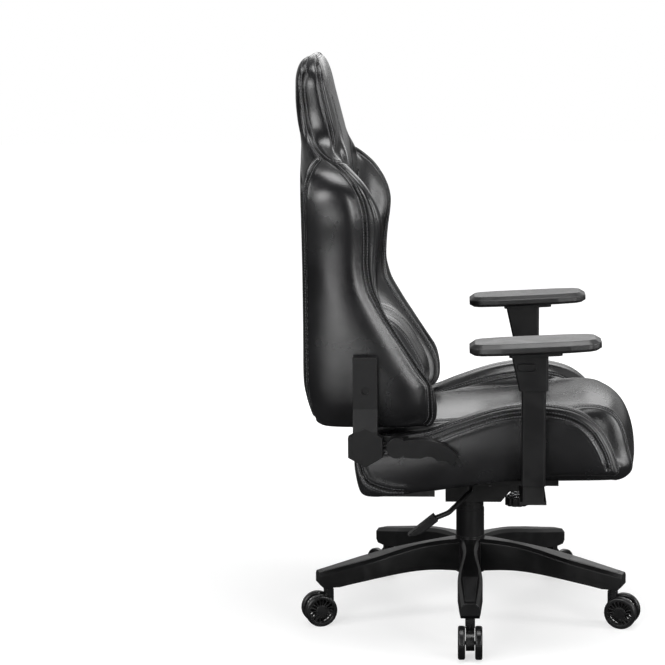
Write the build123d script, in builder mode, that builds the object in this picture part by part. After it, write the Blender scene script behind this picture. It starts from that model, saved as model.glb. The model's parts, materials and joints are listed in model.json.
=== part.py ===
from build123d import *
import os
from math import cos, radians, sin

# Racing-style office chair in millimetres. The origin is on the floor under the
# gas lift column, +X is the way the sitter faces, +Y is the sitter's left.

os.makedirs("parts", exist_ok=True)

# Clearances
running = 0.05        # radial play of a shaft in its bore
gap = 0.3             # soft or loose pieces from their neighbours
slip = 0.5            # sliding plastic sleeves

# Casters
wheel_radius = 32.5
wheel_width = 14
wheel_gap = 1.0
rim_inner_radius = 24.5
wheel_hub_radius = 12
wheel_cap = 2.0
tread_round = 4
spoke_count = 18
spoke_width = 2.2
spoke_inset = 3
axle_radius = 4
caster_trail = 20
caster_body_half = 8.5
caster_body_radius = 23
caster_foot_radius = 15.5
caster_neck_radius = 9.5
stem_radius = 5.5
stem_depth = 28

# Star base
arm_count = 5
first_arm_angle = -90
arm_tip_radius = 322
stem_circle_radius = arm_tip_radius - 22
arm_tip_half = 17.5
arm_tip_top = 110
arm_tip_bottom = 79
arm_knee_radius = 184
arm_knee_top = 139
arm_root_top = 158
arm_arch_radius = 134
arm_arch_top = 98
arm_wide_radius = arm_knee_radius + 48
arm_wide_half = 24.5
arm_neck_radius = 95
arm_neck_half = 14.5
arm_root_half = 19
arm_shoulder = 6.5
hub_radius = 30
hub_top = 164
hub_bottom = 88
insert_start = 30
insert_length = 100
insert_wide = 30
insert_narrow = 19.5
insert_depth = 1.5
insert_stand = 0.4

# Gas lift
tube_radius = 25
tube_wall = 2
tube_top = 230
tube_floor = 3
bush_length = 72
bearing_height = 5
bearing_radius = 14
rod_radius = 5
piston_radius = 11.4
piston_height = 10
piston_top = 254
cylinder_radius = 14
cylinder_wall = 2.5
cylinder_bottom = 104
cylinder_cap = 8
cylinder_top = 268
button_radius = 4
cover_wall = 1.0
cover_gap = 0.2
cover_length = 56

# Tilt mechanism
housing_floor = 240
housing_half = 38
housing_rear = -50
housing_front = 118
housing_wall = 3
shelf_height = 262
socket_radius = 20
socket_bottom = 235
tilt_pivot_x = 40
tilt_pivot_z = 280
tilt_axle_radius = 6
plate_bottom = 300
plate_thickness = 3
plate_rear = -110
plate_front = 130
plate_half = 95
cheek_half_length = 18
tension_x = 95
tension_bolt_radius = 5
bolt_slot_length = 26
bolt_slot_shift = 4
knob_radius = 24
knob_bottom = 226
knob_height = 17
knob_floor = 6
knob_wall = 5
spring_radius = 14
spring_wire_radius = 1.5
spring_turns = 4.5

# Height lever
lever_rod_radius = 5
lever_rod_z = 278
lever_bend_y = 110
lever_end_x = -72
lever_end_y = 198
lever_end_z = 245
paddle_length = 58
paddle_width = 26
paddle_thickness = 15
paddle_fall = 47
paddle_socket = 6
paddle_chamfer = 1.2

# Seat
seat_half_width = 262
bolster_inner = 192
under_back = -66
rail_size = 22
rail_wall = 2
rail_y = 150
rail_rear_x = -178
rail_mid_x = -80
rail_front_x = 162
strap_thickness = 1.6
strap_width = 40
strap_count = 5

# Recline hinge
pivot_x = -200
pivot_z = 405
pivot_pin_radius = 8
hinge_inner = 249
hinge_plate = 5
hinge_disc_radius = 32
arm_plate_width = 44
arm_plate_top = 575
arm_bolt_rise = (108, 150)
arm_bolt_radius = 4
arm_boss_radius = 9
cover_arm_width = 47
cover_arm_top = 578
cover_arm_depth = 12.5
cover_hex_flat = 66
cover_hex_depth = 24.5
cover_facet_low = 436
cover_facet_high = 478
cover_shell = 2.5
cover_screw_radius = 9
recline_lever_x = -140
lever_pin_radius = 5
lever_hub_radius = 14
lever_root_radius = 19.5
grip_length = 103
grip_height = 36
grip_inner = 264
grip_thickness = 22
lever_strip_height = 16
lever_strip_length = 80

# Backrest
back_rear = -325
head_rear = -341
back_bottom = 432
shoulder_height = 885
back_top = 1145
wing_inner = 168
back_frame_rise = 45
head_loop_sink = 6
back_tube_radius = 9
back_tube_wall = 1.5
back_tube_y = 225
mount_plate = 5
mount_plate_bite = 2
pillow_half = 142

# Armrests
armrest_y = 290
bracket_width = 50
bracket_thickness = 6
bracket_inner = 112
post_x = 120
post_length = 46
post_width = 22
post_wall = 3
post_rise = 32
shroud_width = 36
shroud_top_rear = 73
shroud_bottom_rear = 92
shroud_front = 147
pad_centre_x = 122.5
pad_y = 299
pad_length = 247
pad_width = 107
pad_thickness = 21.5
pad_underside = 597
pad_corner = 22
pad_slope = 2.57
pad_carrier = 8
carrier_length = 100
carrier_width = 56
carrier_rail = 4
pad_travel = 25
button_x = 106
button_z = pad_underside - 31
post_top = pad_underside - 25
shroud_bottom = pad_underside - 77
tongue_bottom = pad_underside - 135
bracket_top = tongue_bottom - 22

# Values worked out from the sizes above
wheel_axis_radius = stem_circle_radius + caster_trail
wheel_inner_face = caster_body_half + wheel_gap
frame_bottom = plate_bottom + plate_thickness
back_frame_top = shoulder_height + back_frame_rise
frame_top = frame_bottom + rail_size
upper_plate_inner = hinge_inner + hinge_plate + running
upper_plate_outer = upper_plate_inner + hinge_plate
cover_inner = upper_plate_outer + gap
mount_plate_inner = back_tube_y + back_tube_radius - mount_plate_bite


def up_head(share):
    # height at a share of the way from the shoulders to the top of the head
    return shoulder_height + share * (back_top - shoulder_height)


def bar_x(centre_x, centre_y, centre_z, size_x, size_y, size_z):
    # a rectangular bar, for straps, slots and rails
    return Pos(centre_x, centre_y, centre_z) * Box(size_x, size_y, size_z, mode=Mode.PRIVATE)


# ------------------------------------------------------------------ casters
def caster_plane(index):
    # local x points outwards from the column, local y up, local z along the axle
    angle = radians(first_arm_angle + index * 360 / arm_count)
    outward = Vector(cos(angle), sin(angle), 0)
    centre = outward * wheel_axis_radius + Vector(0, 0, wheel_radius)
    return Plane(origin=centre, x_dir=outward, z_dir=outward.cross(Vector(0, 0, 1)))


def make_wheel(plane, side):
    near = plane.offset(wheel_inner_face if side > 0 else -wheel_inner_face - wheel_width)
    bored = near if side > 0 else near.offset(wheel_cap)
    with BuildPart() as wheel:
        with BuildSketch(near):
            Circle(wheel_radius)
            Circle(rim_inner_radius, mode=Mode.SUBTRACT)
        extrude(amount=wheel_width)
        tread_edges = wheel.edges().filter_by(GeomType.CIRCLE).sort_by(SortBy.RADIUS)[-2:]
        fillet(tread_edges, radius=tread_round)
        with BuildSketch(near):
            Circle(wheel_hub_radius)
        extrude(amount=wheel_width)
        with BuildSketch(near.offset(spoke_inset)):
            with PolarLocations((rim_inner_radius + wheel_hub_radius) / 2, spoke_count):
                Rectangle(rim_inner_radius - wheel_hub_radius + 1, spoke_width)
        extrude(amount=wheel_width - 2 * spoke_inset)
        with BuildSketch(bored):
            Circle(axle_radius + running)
        extrude(amount=wheel_width - wheel_cap, mode=Mode.SUBTRACT)
    return wheel.part


def make_yoke(plane):
    neck_top = arm_tip_bottom - wheel_radius - wheel_gap
    with BuildPart() as body:
        with BuildSketch(plane.offset(-caster_body_half)):
            Circle(caster_body_radius)
            with Locations((0, -caster_body_radius)):
                Rectangle(2 * caster_body_radius, 2 * caster_body_radius, mode=Mode.SUBTRACT)
            Circle(caster_foot_radius)
            with Locations((-caster_trail, neck_top / 2)):
                Rectangle(2 * caster_body_half, neck_top - caster_neck_radius)
        extrude(amount=2 * caster_body_half)
        neck_plane = Plane(origin=plane.from_local_coords(Vector(-caster_trail, neck_top, 0)))
        with BuildSketch(neck_plane):
            Circle(caster_neck_radius)
        extrude(amount=-(neck_top - caster_body_radius - wheel_gap))
        with BuildSketch(plane.offset(-caster_body_half)):
            Circle(axle_radius)
        extrude(amount=2 * caster_body_half, mode=Mode.SUBTRACT)
        with BuildSketch(neck_plane):
            Circle(stem_radius)
        extrude(amount=-caster_neck_radius, mode=Mode.SUBTRACT)
    with BuildPart() as stem:
        with BuildSketch(neck_plane.offset(-caster_neck_radius)):
            Circle(stem_radius)
        extrude(amount=caster_neck_radius + stem_depth)
    axle_half = wheel_inner_face + wheel_width - wheel_cap - running
    with BuildPart() as axle:
        with BuildSketch(plane.offset(-axle_half)):
            Circle(axle_radius)
        extrude(amount=2 * axle_half)
    return Compound(children=[body.part, stem.part, axle.part])


for index in range(arm_count):
    plane = caster_plane(index)
    number = index + 1
    caster_yoke = make_yoke(plane)
    caster_yoke.label = f"caster_yoke_{number}"
    export_step(caster_yoke, f"parts/caster_yoke_{number}.step")
    wheel_one = make_wheel(plane, 1)
    wheel_one.label = f"caster_wheel_{number}a"
    export_step(wheel_one, f"parts/caster_wheel_{number}a.step")
    wheel_two = make_wheel(plane, -1)
    wheel_two.label = f"caster_wheel_{number}b"
    export_step(wheel_two, f"parts/caster_wheel_{number}b.step")


# ---------------------------------------------------------------- star base
arm_run = arm_tip_radius - arm_knee_radius
arm_slope = Vector(arm_run, 0, arm_tip_top - arm_knee_top)
top_plane = Plane(
    origin=(arm_knee_radius, 0, arm_knee_top),
    x_dir=arm_slope,
    z_dir=(arm_knee_top - arm_tip_top, 0, arm_run),
)


def insert_outline(inset):
    half_wide = insert_wide / 2 - inset
    half_narrow = insert_narrow / 2 - inset
    start = insert_start + inset
    end = insert_start + insert_length - inset
    Polygon((start, -half_wide), (end, -half_narrow), (end, half_narrow), (start, half_wide), align=None)


with BuildPart() as arm:
    with BuildSketch(Plane.XZ):
        with BuildLine():
            knee = (arm_knee_radius, arm_knee_top)
            tip = (arm_tip_radius, arm_tip_top)
            shoulder = (arm_knee_radius / 2 + hub_radius / 2, arm_root_top - 5)
            ThreePointArc((0, arm_root_top + 1), shoulder, knee)
            Line(knee, tip)
            Line(tip, (arm_tip_radius, arm_tip_bottom + 7))
            Line((arm_tip_radius, arm_tip_bottom + 7), (arm_tip_radius - 7, arm_tip_bottom))
            Line((arm_tip_radius - 7, arm_tip_bottom), (stem_circle_radius - 18, arm_tip_bottom))
            Spline(
                (stem_circle_radius - 18, arm_tip_bottom),
                (arm_knee_radius + 4, arm_arch_top - 4),
                (arm_arch_radius, arm_arch_top),
                (0, hub_bottom),
            )
            Line((0, hub_bottom), (0, arm_root_top + 1))
        make_face()
    extrude(amount=arm_wide_half + 1, both=True)
    with BuildSketch(Plane.XY.offset(arm_tip_bottom - 10)):
        with BuildLine():
            Spline(
                (0, arm_root_half + 4),
                (hub_radius + 10, arm_root_half),
                (arm_neck_radius, arm_neck_half),
                (arm_knee_radius - 20, arm_wide_half - 4),
                (arm_wide_radius, arm_wide_half),
            )
            Line((arm_wide_radius, arm_wide_half), (arm_tip_radius, arm_tip_half))
            Line((arm_tip_radius, arm_tip_half), (arm_tip_radius, 0))
            Line((arm_tip_radius, 0), (0, 0))
            Line((0, 0), (0, arm_root_half + 4))
        make_face()
        mirror(about=Plane.XZ)
    extrude(amount=arm_root_top, mode=Mode.INTERSECT)
    roof = arm.faces().filter_by(lambda face: face.normal_at().Z > 0.9)
    shoulders = roof.edges().filter_by(lambda edge: edge.center().Z < arm_root_top - 2)
    sides = shoulders.filter_by(lambda edge: abs(edge.center().Y) > 5)
    chamfer(sides, length=arm_shoulder)
    with BuildSketch(top_plane):
        insert_outline(0)
    extrude(amount=-insert_depth, mode=Mode.SUBTRACT)

with BuildPart() as star_base:
    with BuildSketch(Plane.XY.offset(hub_bottom)):
        Circle(hub_radius)
    extrude(amount=hub_top - hub_bottom)
    with PolarLocations(0, arm_count, start_angle=first_arm_angle):
        add(arm.part)
    with BuildSketch(Plane.XY.offset(hub_bottom - 20)):
        Circle(tube_radius)
    extrude(amount=hub_top, mode=Mode.SUBTRACT)
    with BuildSketch(Plane.XY.offset(arm_tip_bottom - 1)):
        with PolarLocations(stem_circle_radius, arm_count, start_angle=first_arm_angle):
            Circle(stem_radius + running)
    extrude(amount=stem_depth + 1, mode=Mode.SUBTRACT)
star_base.part.label = "star_base"
export_step(star_base.part, "parts/star_base.step")

with BuildPart() as insert_pad:
    with BuildSketch(top_plane.offset(-insert_depth)):
        insert_outline(gap)
    extrude(amount=insert_depth + insert_stand)

with BuildPart() as arm_insert_pads:
    with PolarLocations(0, arm_count, start_angle=first_arm_angle):
        add(insert_pad.part)
arm_insert_pads.part.label = "arm_insert_pads"
export_step(arm_insert_pads.part, "parts/arm_insert_pads.step")


# ----------------------------------------------------------------- gas lift
def make_ring(outer, inner, bottom, top):
    with BuildPart() as ring:
        with BuildSketch(Plane.XY.offset(bottom)):
            Circle(outer)
            Circle(inner, mode=Mode.SUBTRACT)
        extrude(amount=top - bottom)
    return ring.part


with BuildPart() as gas_lift_tube:
    with BuildSketch(Plane.XY.offset(hub_bottom)):
        Circle(tube_radius)
    extrude(amount=tube_top - hub_bottom)
    with BuildSketch(Plane.XY.offset(hub_bottom + tube_floor)):
        Circle(tube_radius - tube_wall)
    extrude(amount=tube_top - hub_bottom - tube_floor, mode=Mode.SUBTRACT)
    with BuildSketch(Plane.XY.offset(hub_bottom)):
        Circle(rod_radius + running)
    extrude(amount=tube_floor, mode=Mode.SUBTRACT)
gas_lift_tube.part.label = "gas_lift_tube"
export_step(gas_lift_tube.part, "parts/gas_lift_tube.step")

guide_bush = make_ring(
    tube_radius - tube_wall, cylinder_radius + running, tube_top - bush_length, tube_top
)
guide_bush.label = "guide_bush"
export_step(guide_bush, "parts/guide_bush.step")

bearing_bottom = hub_bottom + tube_floor
thrust_bearing = make_ring(
    bearing_radius, rod_radius + running, bearing_bottom, bearing_bottom + bearing_height
)
thrust_bearing.label = "thrust_bearing"
export_step(thrust_bearing, "parts/thrust_bearing.step")

shoulder_bottom = bearing_bottom + bearing_height + running
with BuildPart() as piston_rod:
    with BuildSketch(Plane.XY.offset(hub_bottom - 4)):
        Circle(rod_radius)
    extrude(amount=piston_top - hub_bottom + 4)
    with BuildSketch(Plane.XY.offset(shoulder_bottom)):
        Circle(bearing_radius - 4)
    extrude(amount=4)
    with BuildSketch(Plane.XY.offset(piston_top - piston_height)):
        Circle(piston_radius)
    extrude(amount=piston_height)
    with BuildSketch(Plane.XY.offset(hub_bottom - running)):
        Circle(rod_radius + 3)
    extrude(amount=-1.5)
piston_rod.part.label = "piston_rod"
export_step(piston_rod.part, "parts/piston_rod.step")

with BuildPart() as gas_cylinder:
    with BuildSketch(Plane.XY.offset(cylinder_bottom)):
        Circle(cylinder_radius)
    extrude(amount=cylinder_top - cylinder_bottom)
    with BuildSketch(Plane.XY.offset(cylinder_bottom + cylinder_cap)):
        Circle(cylinder_radius - cylinder_wall)
    extrude(amount=cylinder_top - cylinder_bottom - 2 * cylinder_cap, mode=Mode.SUBTRACT)
    with BuildSketch(Plane.XY.offset(cylinder_bottom)):
        Circle(rod_radius + running)
    extrude(amount=cylinder_cap, mode=Mode.SUBTRACT)
    with BuildSketch(Plane.XY.offset(cylinder_top)):
        Circle(button_radius + running)
    extrude(amount=-cylinder_cap, mode=Mode.SUBTRACT)
gas_cylinder.part.label = "gas_cylinder"
export_step(gas_cylinder.part, "parts/gas_cylinder.step")

button_top = lever_rod_z - lever_rod_radius - running
with BuildPart() as release_button:
    with BuildSketch(Plane.XY.offset(cylinder_top - cylinder_cap + 3)):
        Circle(button_radius)
    extrude(amount=button_top - cylinder_top + cylinder_cap - 3)
release_button.part.label = "release_button"
export_step(release_button.part, "parts/release_button.step")

# The three sleeves of the dust cover nest, the upper one hangs from the mechanism.
sleeve_step = cover_wall + cover_gap
upper_inner = tube_radius + cover_gap
middle_inner = upper_inner + sleeve_step
lower_inner = middle_inner + sleeve_step
middle_bottom = hub_top + (housing_floor - hub_top - cover_length) / 2
dust_cover_lower = make_ring(lower_inner + cover_wall, lower_inner, hub_top, hub_top + cover_length)
dust_cover_lower.label = "dust_cover_lower"
export_step(dust_cover_lower, "parts/dust_cover_lower.step")
dust_cover_middle = make_ring(
    middle_inner + cover_wall, middle_inner, middle_bottom, middle_bottom + cover_length
)
dust_cover_middle.label = "dust_cover_middle"
export_step(dust_cover_middle, "parts/dust_cover_middle.step")
dust_cover_upper = make_ring(
    upper_inner + cover_wall, upper_inner, housing_floor - cover_length, housing_floor
)
dust_cover_upper.label = "dust_cover_upper"
export_step(dust_cover_upper, "parts/dust_cover_upper.step")


# ----------------------------------------------------------- tilt mechanism
housing_low_front = tilt_pivot_x + 22
housing_crown = plate_bottom - 3
with BuildPart() as mechanism_housing:
    with BuildSketch(Plane.XZ):
        Polygon(
            (housing_rear, housing_floor),
            (housing_low_front, housing_floor),
            (housing_low_front + 18, shelf_height),
            (housing_front, shelf_height),
            (housing_front, shelf_height + 13),
            (housing_low_front + 13, housing_crown),
            (tilt_pivot_x + 18, housing_crown),
            (housing_rear, housing_floor + 36),
            align=None,
        )
    extrude(amount=housing_half, both=True)
    with BuildSketch(Plane.XZ):
        Polygon(
            (housing_rear + housing_wall, housing_floor + housing_wall),
            (housing_low_front - 1, housing_floor + housing_wall),
            (housing_low_front + 17, shelf_height + housing_wall),
            (housing_front - housing_wall, shelf_height + housing_wall),
            (housing_front - housing_wall, plate_bottom),
            (housing_rear + housing_wall, plate_bottom),
            align=None,
        )
    extrude(amount=housing_half - housing_wall, both=True, mode=Mode.SUBTRACT)
    with BuildSketch(Plane.XY.offset(socket_bottom)):
        Circle(socket_radius)
    extrude(amount=cylinder_top - 6 - socket_bottom)
    with BuildSketch(Plane.XY.offset(socket_bottom)):
        Circle(cylinder_radius)
    extrude(amount=cylinder_top - socket_bottom, mode=Mode.SUBTRACT)
    with BuildSketch(Plane.XY.offset(shelf_height)):
        # a slot, because the bolt leans forwards as the seat tilts
        with Locations((tension_x + bolt_slot_shift, 0)):
            SlotOverall(bolt_slot_length, 2 * tension_bolt_radius + 3)
    extrude(amount=housing_wall, mode=Mode.SUBTRACT)
    with BuildSketch(Plane.XZ):
        with Locations((tilt_pivot_x, tilt_pivot_z)):
            Circle(tilt_axle_radius)
    extrude(amount=housing_half, both=True, mode=Mode.SUBTRACT)
    with BuildSketch(Plane.XZ):
        with Locations((0, lever_rod_z)):
            Circle(lever_rod_radius + slip)
    extrude(amount=housing_half, mode=Mode.SUBTRACT)
mechanism_housing.part.label = "mechanism_housing"
export_step(mechanism_housing.part, "parts/mechanism_housing.step")

axle_reach = housing_half + running + plate_thickness + 2
with BuildPart() as tilt_axle:
    with BuildSketch(Plane.XZ):
        with Locations((tilt_pivot_x, tilt_pivot_z)):
            Circle(tilt_axle_radius)
    extrude(amount=axle_reach, both=True)
tilt_axle.part.label = "tilt_axle"
export_step(tilt_axle.part, "parts/tilt_axle.step")

cheek_inner = housing_half + gap
with BuildPart() as tilt_plate:
    with BuildSketch(Plane.XY.offset(plate_bottom)):
        with Locations(((plate_rear + plate_front) / 2, 0)):
            RectangleRounded(plate_front - plate_rear, 2 * plate_half, 12)
    extrude(amount=plate_thickness)
    for side in (-1, 1):
        cheek_plane = Plane.XZ.offset(side * (cheek_inner + plate_thickness / 2))
        with BuildSketch(cheek_plane):
            with Locations((tilt_pivot_x, tilt_pivot_z)):
                Circle(cheek_half_length - 4)
            with Locations((tilt_pivot_x, (tilt_pivot_z + plate_bottom) / 2)):
                Rectangle(2 * cheek_half_length - 8, plate_bottom - tilt_pivot_z)
            with Locations((tilt_pivot_x, tilt_pivot_z)):
                Circle(tilt_axle_radius + running, mode=Mode.SUBTRACT)
        extrude(amount=plate_thickness / 2, both=True)
    with BuildSketch(Plane.XY.offset(plate_bottom)):
        with Locations((tension_x, 0)):
            Circle(tension_bolt_radius)
    extrude(amount=plate_thickness, mode=Mode.SUBTRACT)
tilt_plate.part.label = "tilt_plate"
export_step(tilt_plate.part, "parts/tilt_plate.step")

with BuildPart() as tension_bolt:
    with BuildSketch(Plane.XY.offset(knob_bottom + 1)):
        with Locations((tension_x, 0)):
            Circle(tension_bolt_radius)
    extrude(amount=frame_bottom - knob_bottom - 1)
tension_bolt.part.label = "tension_bolt"
export_step(tension_bolt.part, "parts/tension_bolt.step")

with BuildPart() as tension_knob:
    with BuildSketch(Plane.XY.offset(knob_bottom)):
        with Locations((tension_x, 0)):
            Circle(knob_radius)
            with PolarLocations(knob_radius + 2, 12):
                Circle(4, mode=Mode.SUBTRACT)
    extrude(amount=knob_height)
    with BuildSketch(Plane.XY.offset(knob_bottom + knob_floor)):
        with Locations((tension_x, 0)):
            Circle(knob_radius - knob_wall)
    extrude(amount=knob_height, mode=Mode.SUBTRACT)
    with BuildSketch(Plane.XY.offset(knob_bottom)):
        with Locations((tension_x, 0)):
            Circle(tension_bolt_radius + running)
    extrude(amount=knob_floor, mode=Mode.SUBTRACT)
tension_knob.part.label = "tension_knob"
export_step(tension_knob.part, "parts/tension_knob.step")

spring_foot = knob_bottom + knob_floor + spring_wire_radius + gap
spring_height = shelf_height - gap - spring_wire_radius - spring_foot
with BuildPart() as tension_spring:
    with BuildLine() as coil:
        Helix(
            pitch=spring_height / spring_turns,
            height=spring_height,
            radius=spring_radius,
            center=(tension_x, 0, spring_foot),
        )
    with BuildSketch(Plane(origin=coil.line @ 0, z_dir=coil.line % 0)):
        Circle(spring_wire_radius)
    sweep(path=coil.line, is_frenet=True)
tension_spring.part.label = "tension_spring"
export_step(tension_spring.part, "parts/tension_spring.step")

# ------------------------------------------------------------- height lever
paddle_dir = Vector(-paddle_length, 0, -paddle_fall).normalized()
rod_end = Vector(lever_end_x, -lever_end_y, lever_end_z)
with BuildPart() as height_lever:
    with BuildLine() as lever_path:
        FilletPolyline(
            (0, button_radius, lever_rod_z),
            (0, -lever_bend_y, lever_rod_z),
            (lever_end_x + 30, -lever_end_y + 10, lever_end_z + 10),
            rod_end,
            radius=14,
        )
    with BuildSketch(Plane(origin=lever_path.line @ 0, z_dir=lever_path.line % 0)):
        Circle(lever_rod_radius)
    sweep(path=lever_path.line)
height_lever.part.label = "height_lever"
export_step(height_lever.part, "parts/height_lever.step")

# blade in side view: straight on top, curved up to the tip below
paddle_plane = Plane(origin=rod_end, x_dir=paddle_dir, z_dir=Vector(0, 1, 0))
with BuildPart() as lever_paddle:
    half_thick = paddle_thickness / 2
    with BuildSketch(paddle_plane):
        with BuildLine():
            Line((-paddle_socket, -half_thick), (-paddle_socket, half_thick))
            Line((-paddle_socket, half_thick), (paddle_length, half_thick))
            Line((paddle_length, half_thick), (paddle_length, half_thick / 2))
            Spline(
                (paddle_length, half_thick / 2), (paddle_length * 0.8, -half_thick * 0.4),
                (paddle_length * 0.45, -half_thick),
            )
            Line((paddle_length * 0.45, -half_thick), (-paddle_socket, -half_thick))
        make_face()
    extrude(amount=paddle_width / 2, both=True)
    cheeks = lever_paddle.faces().sort_by(Axis.Y)
    chamfer(cheeks[0].edges() + cheeks[-1].edges(), length=paddle_chamfer)
    add(height_lever.part, mode=Mode.SUBTRACT)
lever_paddle.part.label = "lever_paddle"
export_step(lever_paddle.part, "parts/lever_paddle.step")

# --------------------------------------------------------------- seat frame
rail_length = rail_front_x - rail_rear_x + rail_size


def rail_bars(size):
    # two side rails and three cross tubes; the rear two reach the hinge plates
    middle = (rail_front_x + rail_rear_x) / 2
    height = frame_bottom + rail_size / 2
    bars = [
        bar_x(middle, -rail_y, height, rail_length, size, size),
        bar_x(middle, rail_y, height, rail_length, size, size),
        bar_x(rail_front_x, 0, height, size, 2 * rail_y, size),
        bar_x(rail_rear_x, 0, height, size, 2 * hinge_inner, size),
        bar_x(rail_mid_x, 0, height, size, 2 * hinge_inner, size),
    ]
    return bars


with BuildPart() as seat_frame:
    add(rail_bars(rail_size))
    add(rail_bars(rail_size - 2 * rail_wall), mode=Mode.SUBTRACT)
    for bar_place in (rail_mid_x + 15, tension_x - 25):
        add(bar_x(bar_place, 0, frame_bottom + 2, 26, 2 * rail_y - rail_size, 4))
seat_frame.part.label = "seat_frame"
export_step(seat_frame.part, "parts/seat_frame.step")

strap_pitch = (rail_front_x - rail_rear_x) / (strap_count + 1)
seat_webbing = Compound(children=[
    bar_x(
        rail_rear_x + strap_pitch * (step + 1), 0, frame_top + strap_thickness / 2,
        strap_width, 2 * rail_y + rail_size, strap_thickness,
    )
    for step in range(strap_count)
])
seat_webbing.label = "seat_webbing"
export_step(seat_webbing, "parts/seat_webbing.step")


# ------------------------------------------------------------- hinge plates
def lower_plate_outline(grow):
    # foot on the seat frame, rising to the pivot and to the lever's pin
    Polygon(
        (rail_rear_x - 18 - grow, frame_bottom - grow),
        (rail_mid_x + 12 + grow, frame_bottom - grow),
        (rail_mid_x + 12 + grow, frame_top + 2 + grow),
        (recline_lever_x + 22 + grow, pivot_z - 20),
        (recline_lever_x + 22 + grow, pivot_z + 17),
        (pivot_x, pivot_z + 17),
        (pivot_x - 15 - grow, pivot_z - 20),
        align=None,
    )
    with Locations((pivot_x, pivot_z)):
        Circle(hinge_disc_radius + grow)


def make_lower_plate(side):
    with BuildPart() as plate:
        with BuildSketch(Plane.XZ.offset(-side * hinge_inner)):
            lower_plate_outline(0)
            with Locations((pivot_x, pivot_z)):
                Circle(pivot_pin_radius, mode=Mode.SUBTRACT)
            if side < 0:
                with Locations((recline_lever_x, pivot_z)):
                    Circle(lever_pin_radius, mode=Mode.SUBTRACT)
        extrude(amount=-side * hinge_plate)
    return plate.part


hinge_lower_plates = Compound(children=[make_lower_plate(-1), make_lower_plate(1)])
hinge_lower_plates.label = "hinge_lower_plates"
export_step(hinge_lower_plates, "parts/hinge_lower_plates.step")


def make_upper_arm(side):
    rise = arm_plate_top - pivot_z
    with BuildPart() as plate:
        with BuildSketch(Plane.XZ.offset(-side * upper_plate_inner)):
            with Locations((pivot_x, pivot_z)):
                Circle(hinge_disc_radius - 2)
            with Locations((pivot_x, pivot_z + rise / 2)):
                Rectangle(arm_plate_width, rise)
        extrude(amount=-side * hinge_plate)
        boss_base = mount_plate_inner + mount_plate
        with BuildSketch(Plane.XZ.offset(-side * boss_base)):
            with Locations(*[(pivot_x, pivot_z + bolt) for bolt in arm_bolt_rise]):
                Circle(arm_boss_radius)
        extrude(amount=-side * (upper_plate_inner - boss_base))
        with BuildSketch(Plane.XZ.offset(-side * boss_base)):
            with Locations(*[(pivot_x, pivot_z + bolt) for bolt in arm_bolt_rise]):
                Circle(arm_bolt_radius)
        extrude(amount=-side * (upper_plate_outer - boss_base), mode=Mode.SUBTRACT)
        with BuildSketch(Plane.XZ.offset(-side * upper_plate_inner)):
            with Locations((pivot_x, pivot_z)):
                Circle(pivot_pin_radius + running)
        extrude(amount=-side * hinge_plate, mode=Mode.SUBTRACT)
    return plate.part


hinge_upper_arms = Compound(children=[make_upper_arm(-1), make_upper_arm(1)])
hinge_upper_arms.label = "hinge_upper_arms"
export_step(hinge_upper_arms, "parts/hinge_upper_arms.step")


def make_pin(side, place_x, radius, start, end, head_radius):
    with BuildPart() as pin:
        with BuildSketch(Plane.XZ.offset(-side * start)):
            with Locations((place_x, pivot_z)):
                Circle(radius)
        extrude(amount=-side * (end - start))
        with BuildSketch(Plane.XZ.offset(-side * end)):
            with Locations((place_x, pivot_z)):
                Circle(head_radius)
        extrude(amount=-side * 3)
    return pin.part


pin_end = cover_inner + 6
lever_pin_end = grip_inner + grip_thickness - 6
pivot_pins = Compound(children=[
    make_pin(-1, pivot_x, pivot_pin_radius, hinge_inner, pin_end, pivot_pin_radius + 3),
    make_pin(1, pivot_x, pivot_pin_radius, hinge_inner, pin_end, pivot_pin_radius + 3),
    make_pin(-1, recline_lever_x, lever_pin_radius, hinge_inner, lever_pin_end, lever_pin_radius + 3),
])
pivot_pins.label = "pivot_pins"
export_step(pivot_pins, "parts/pivot_pins.step")


def make_spiral(side):
    # flat strip wound round the pin, built of half circles that grow turn by turn
    strip = 1.2
    step = 2.6
    first = pivot_pin_radius + 1.2
    turns = 6
    with BuildPart() as spring:
        with BuildSketch(Plane.XZ.offset(-side * cover_inner)):
            with BuildLine():
                for edge in (0, strip):
                    for turn in range(turns):
                        centre = pivot_x + (step / 2 if turn % 2 else 0)
                        radius = first + turn * step / 2 + edge
                        CenterArc((centre, pivot_z), radius, 180 * (turn % 2), 180)
                Line((pivot_x + first, pivot_z), (pivot_x + first + strip, pivot_z))
                outer = first + (turns - 1) * step / 2
                end_x = pivot_x + step / 2 + outer
                Line((end_x, pivot_z), (end_x + strip, pivot_z))
            make_face()
        extrude(amount=-side * 5)
    return spring.part


spiral_springs = Compound(children=[make_spiral(-1), make_spiral(1)])
spiral_springs.label = "spiral_springs"
export_step(spiral_springs, "parts/spiral_springs.step")


def make_bolt(side, rise):
    with BuildPart() as bolt:
        with BuildSketch(Plane.XZ.offset(-side * mount_plate_inner)):
            with Locations((pivot_x, pivot_z + rise)):
                Circle(arm_bolt_radius)
        extrude(amount=-side * (upper_plate_outer - mount_plate_inner))
        with BuildSketch(Plane.XZ.offset(-side * upper_plate_outer)):
            with Locations((pivot_x, pivot_z + rise)):
                RegularPolygon(arm_bolt_radius + 2.5, 6)
        extrude(amount=-side * 4)
    return bolt.part


hinge_bolts = Compound(children=[
    make_bolt(side, rise) for side in (-1, 1) for rise in arm_bolt_rise
])
hinge_bolts.label = "hinge_bolts"
export_step(hinge_bolts, "parts/hinge_bolts.step")


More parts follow.
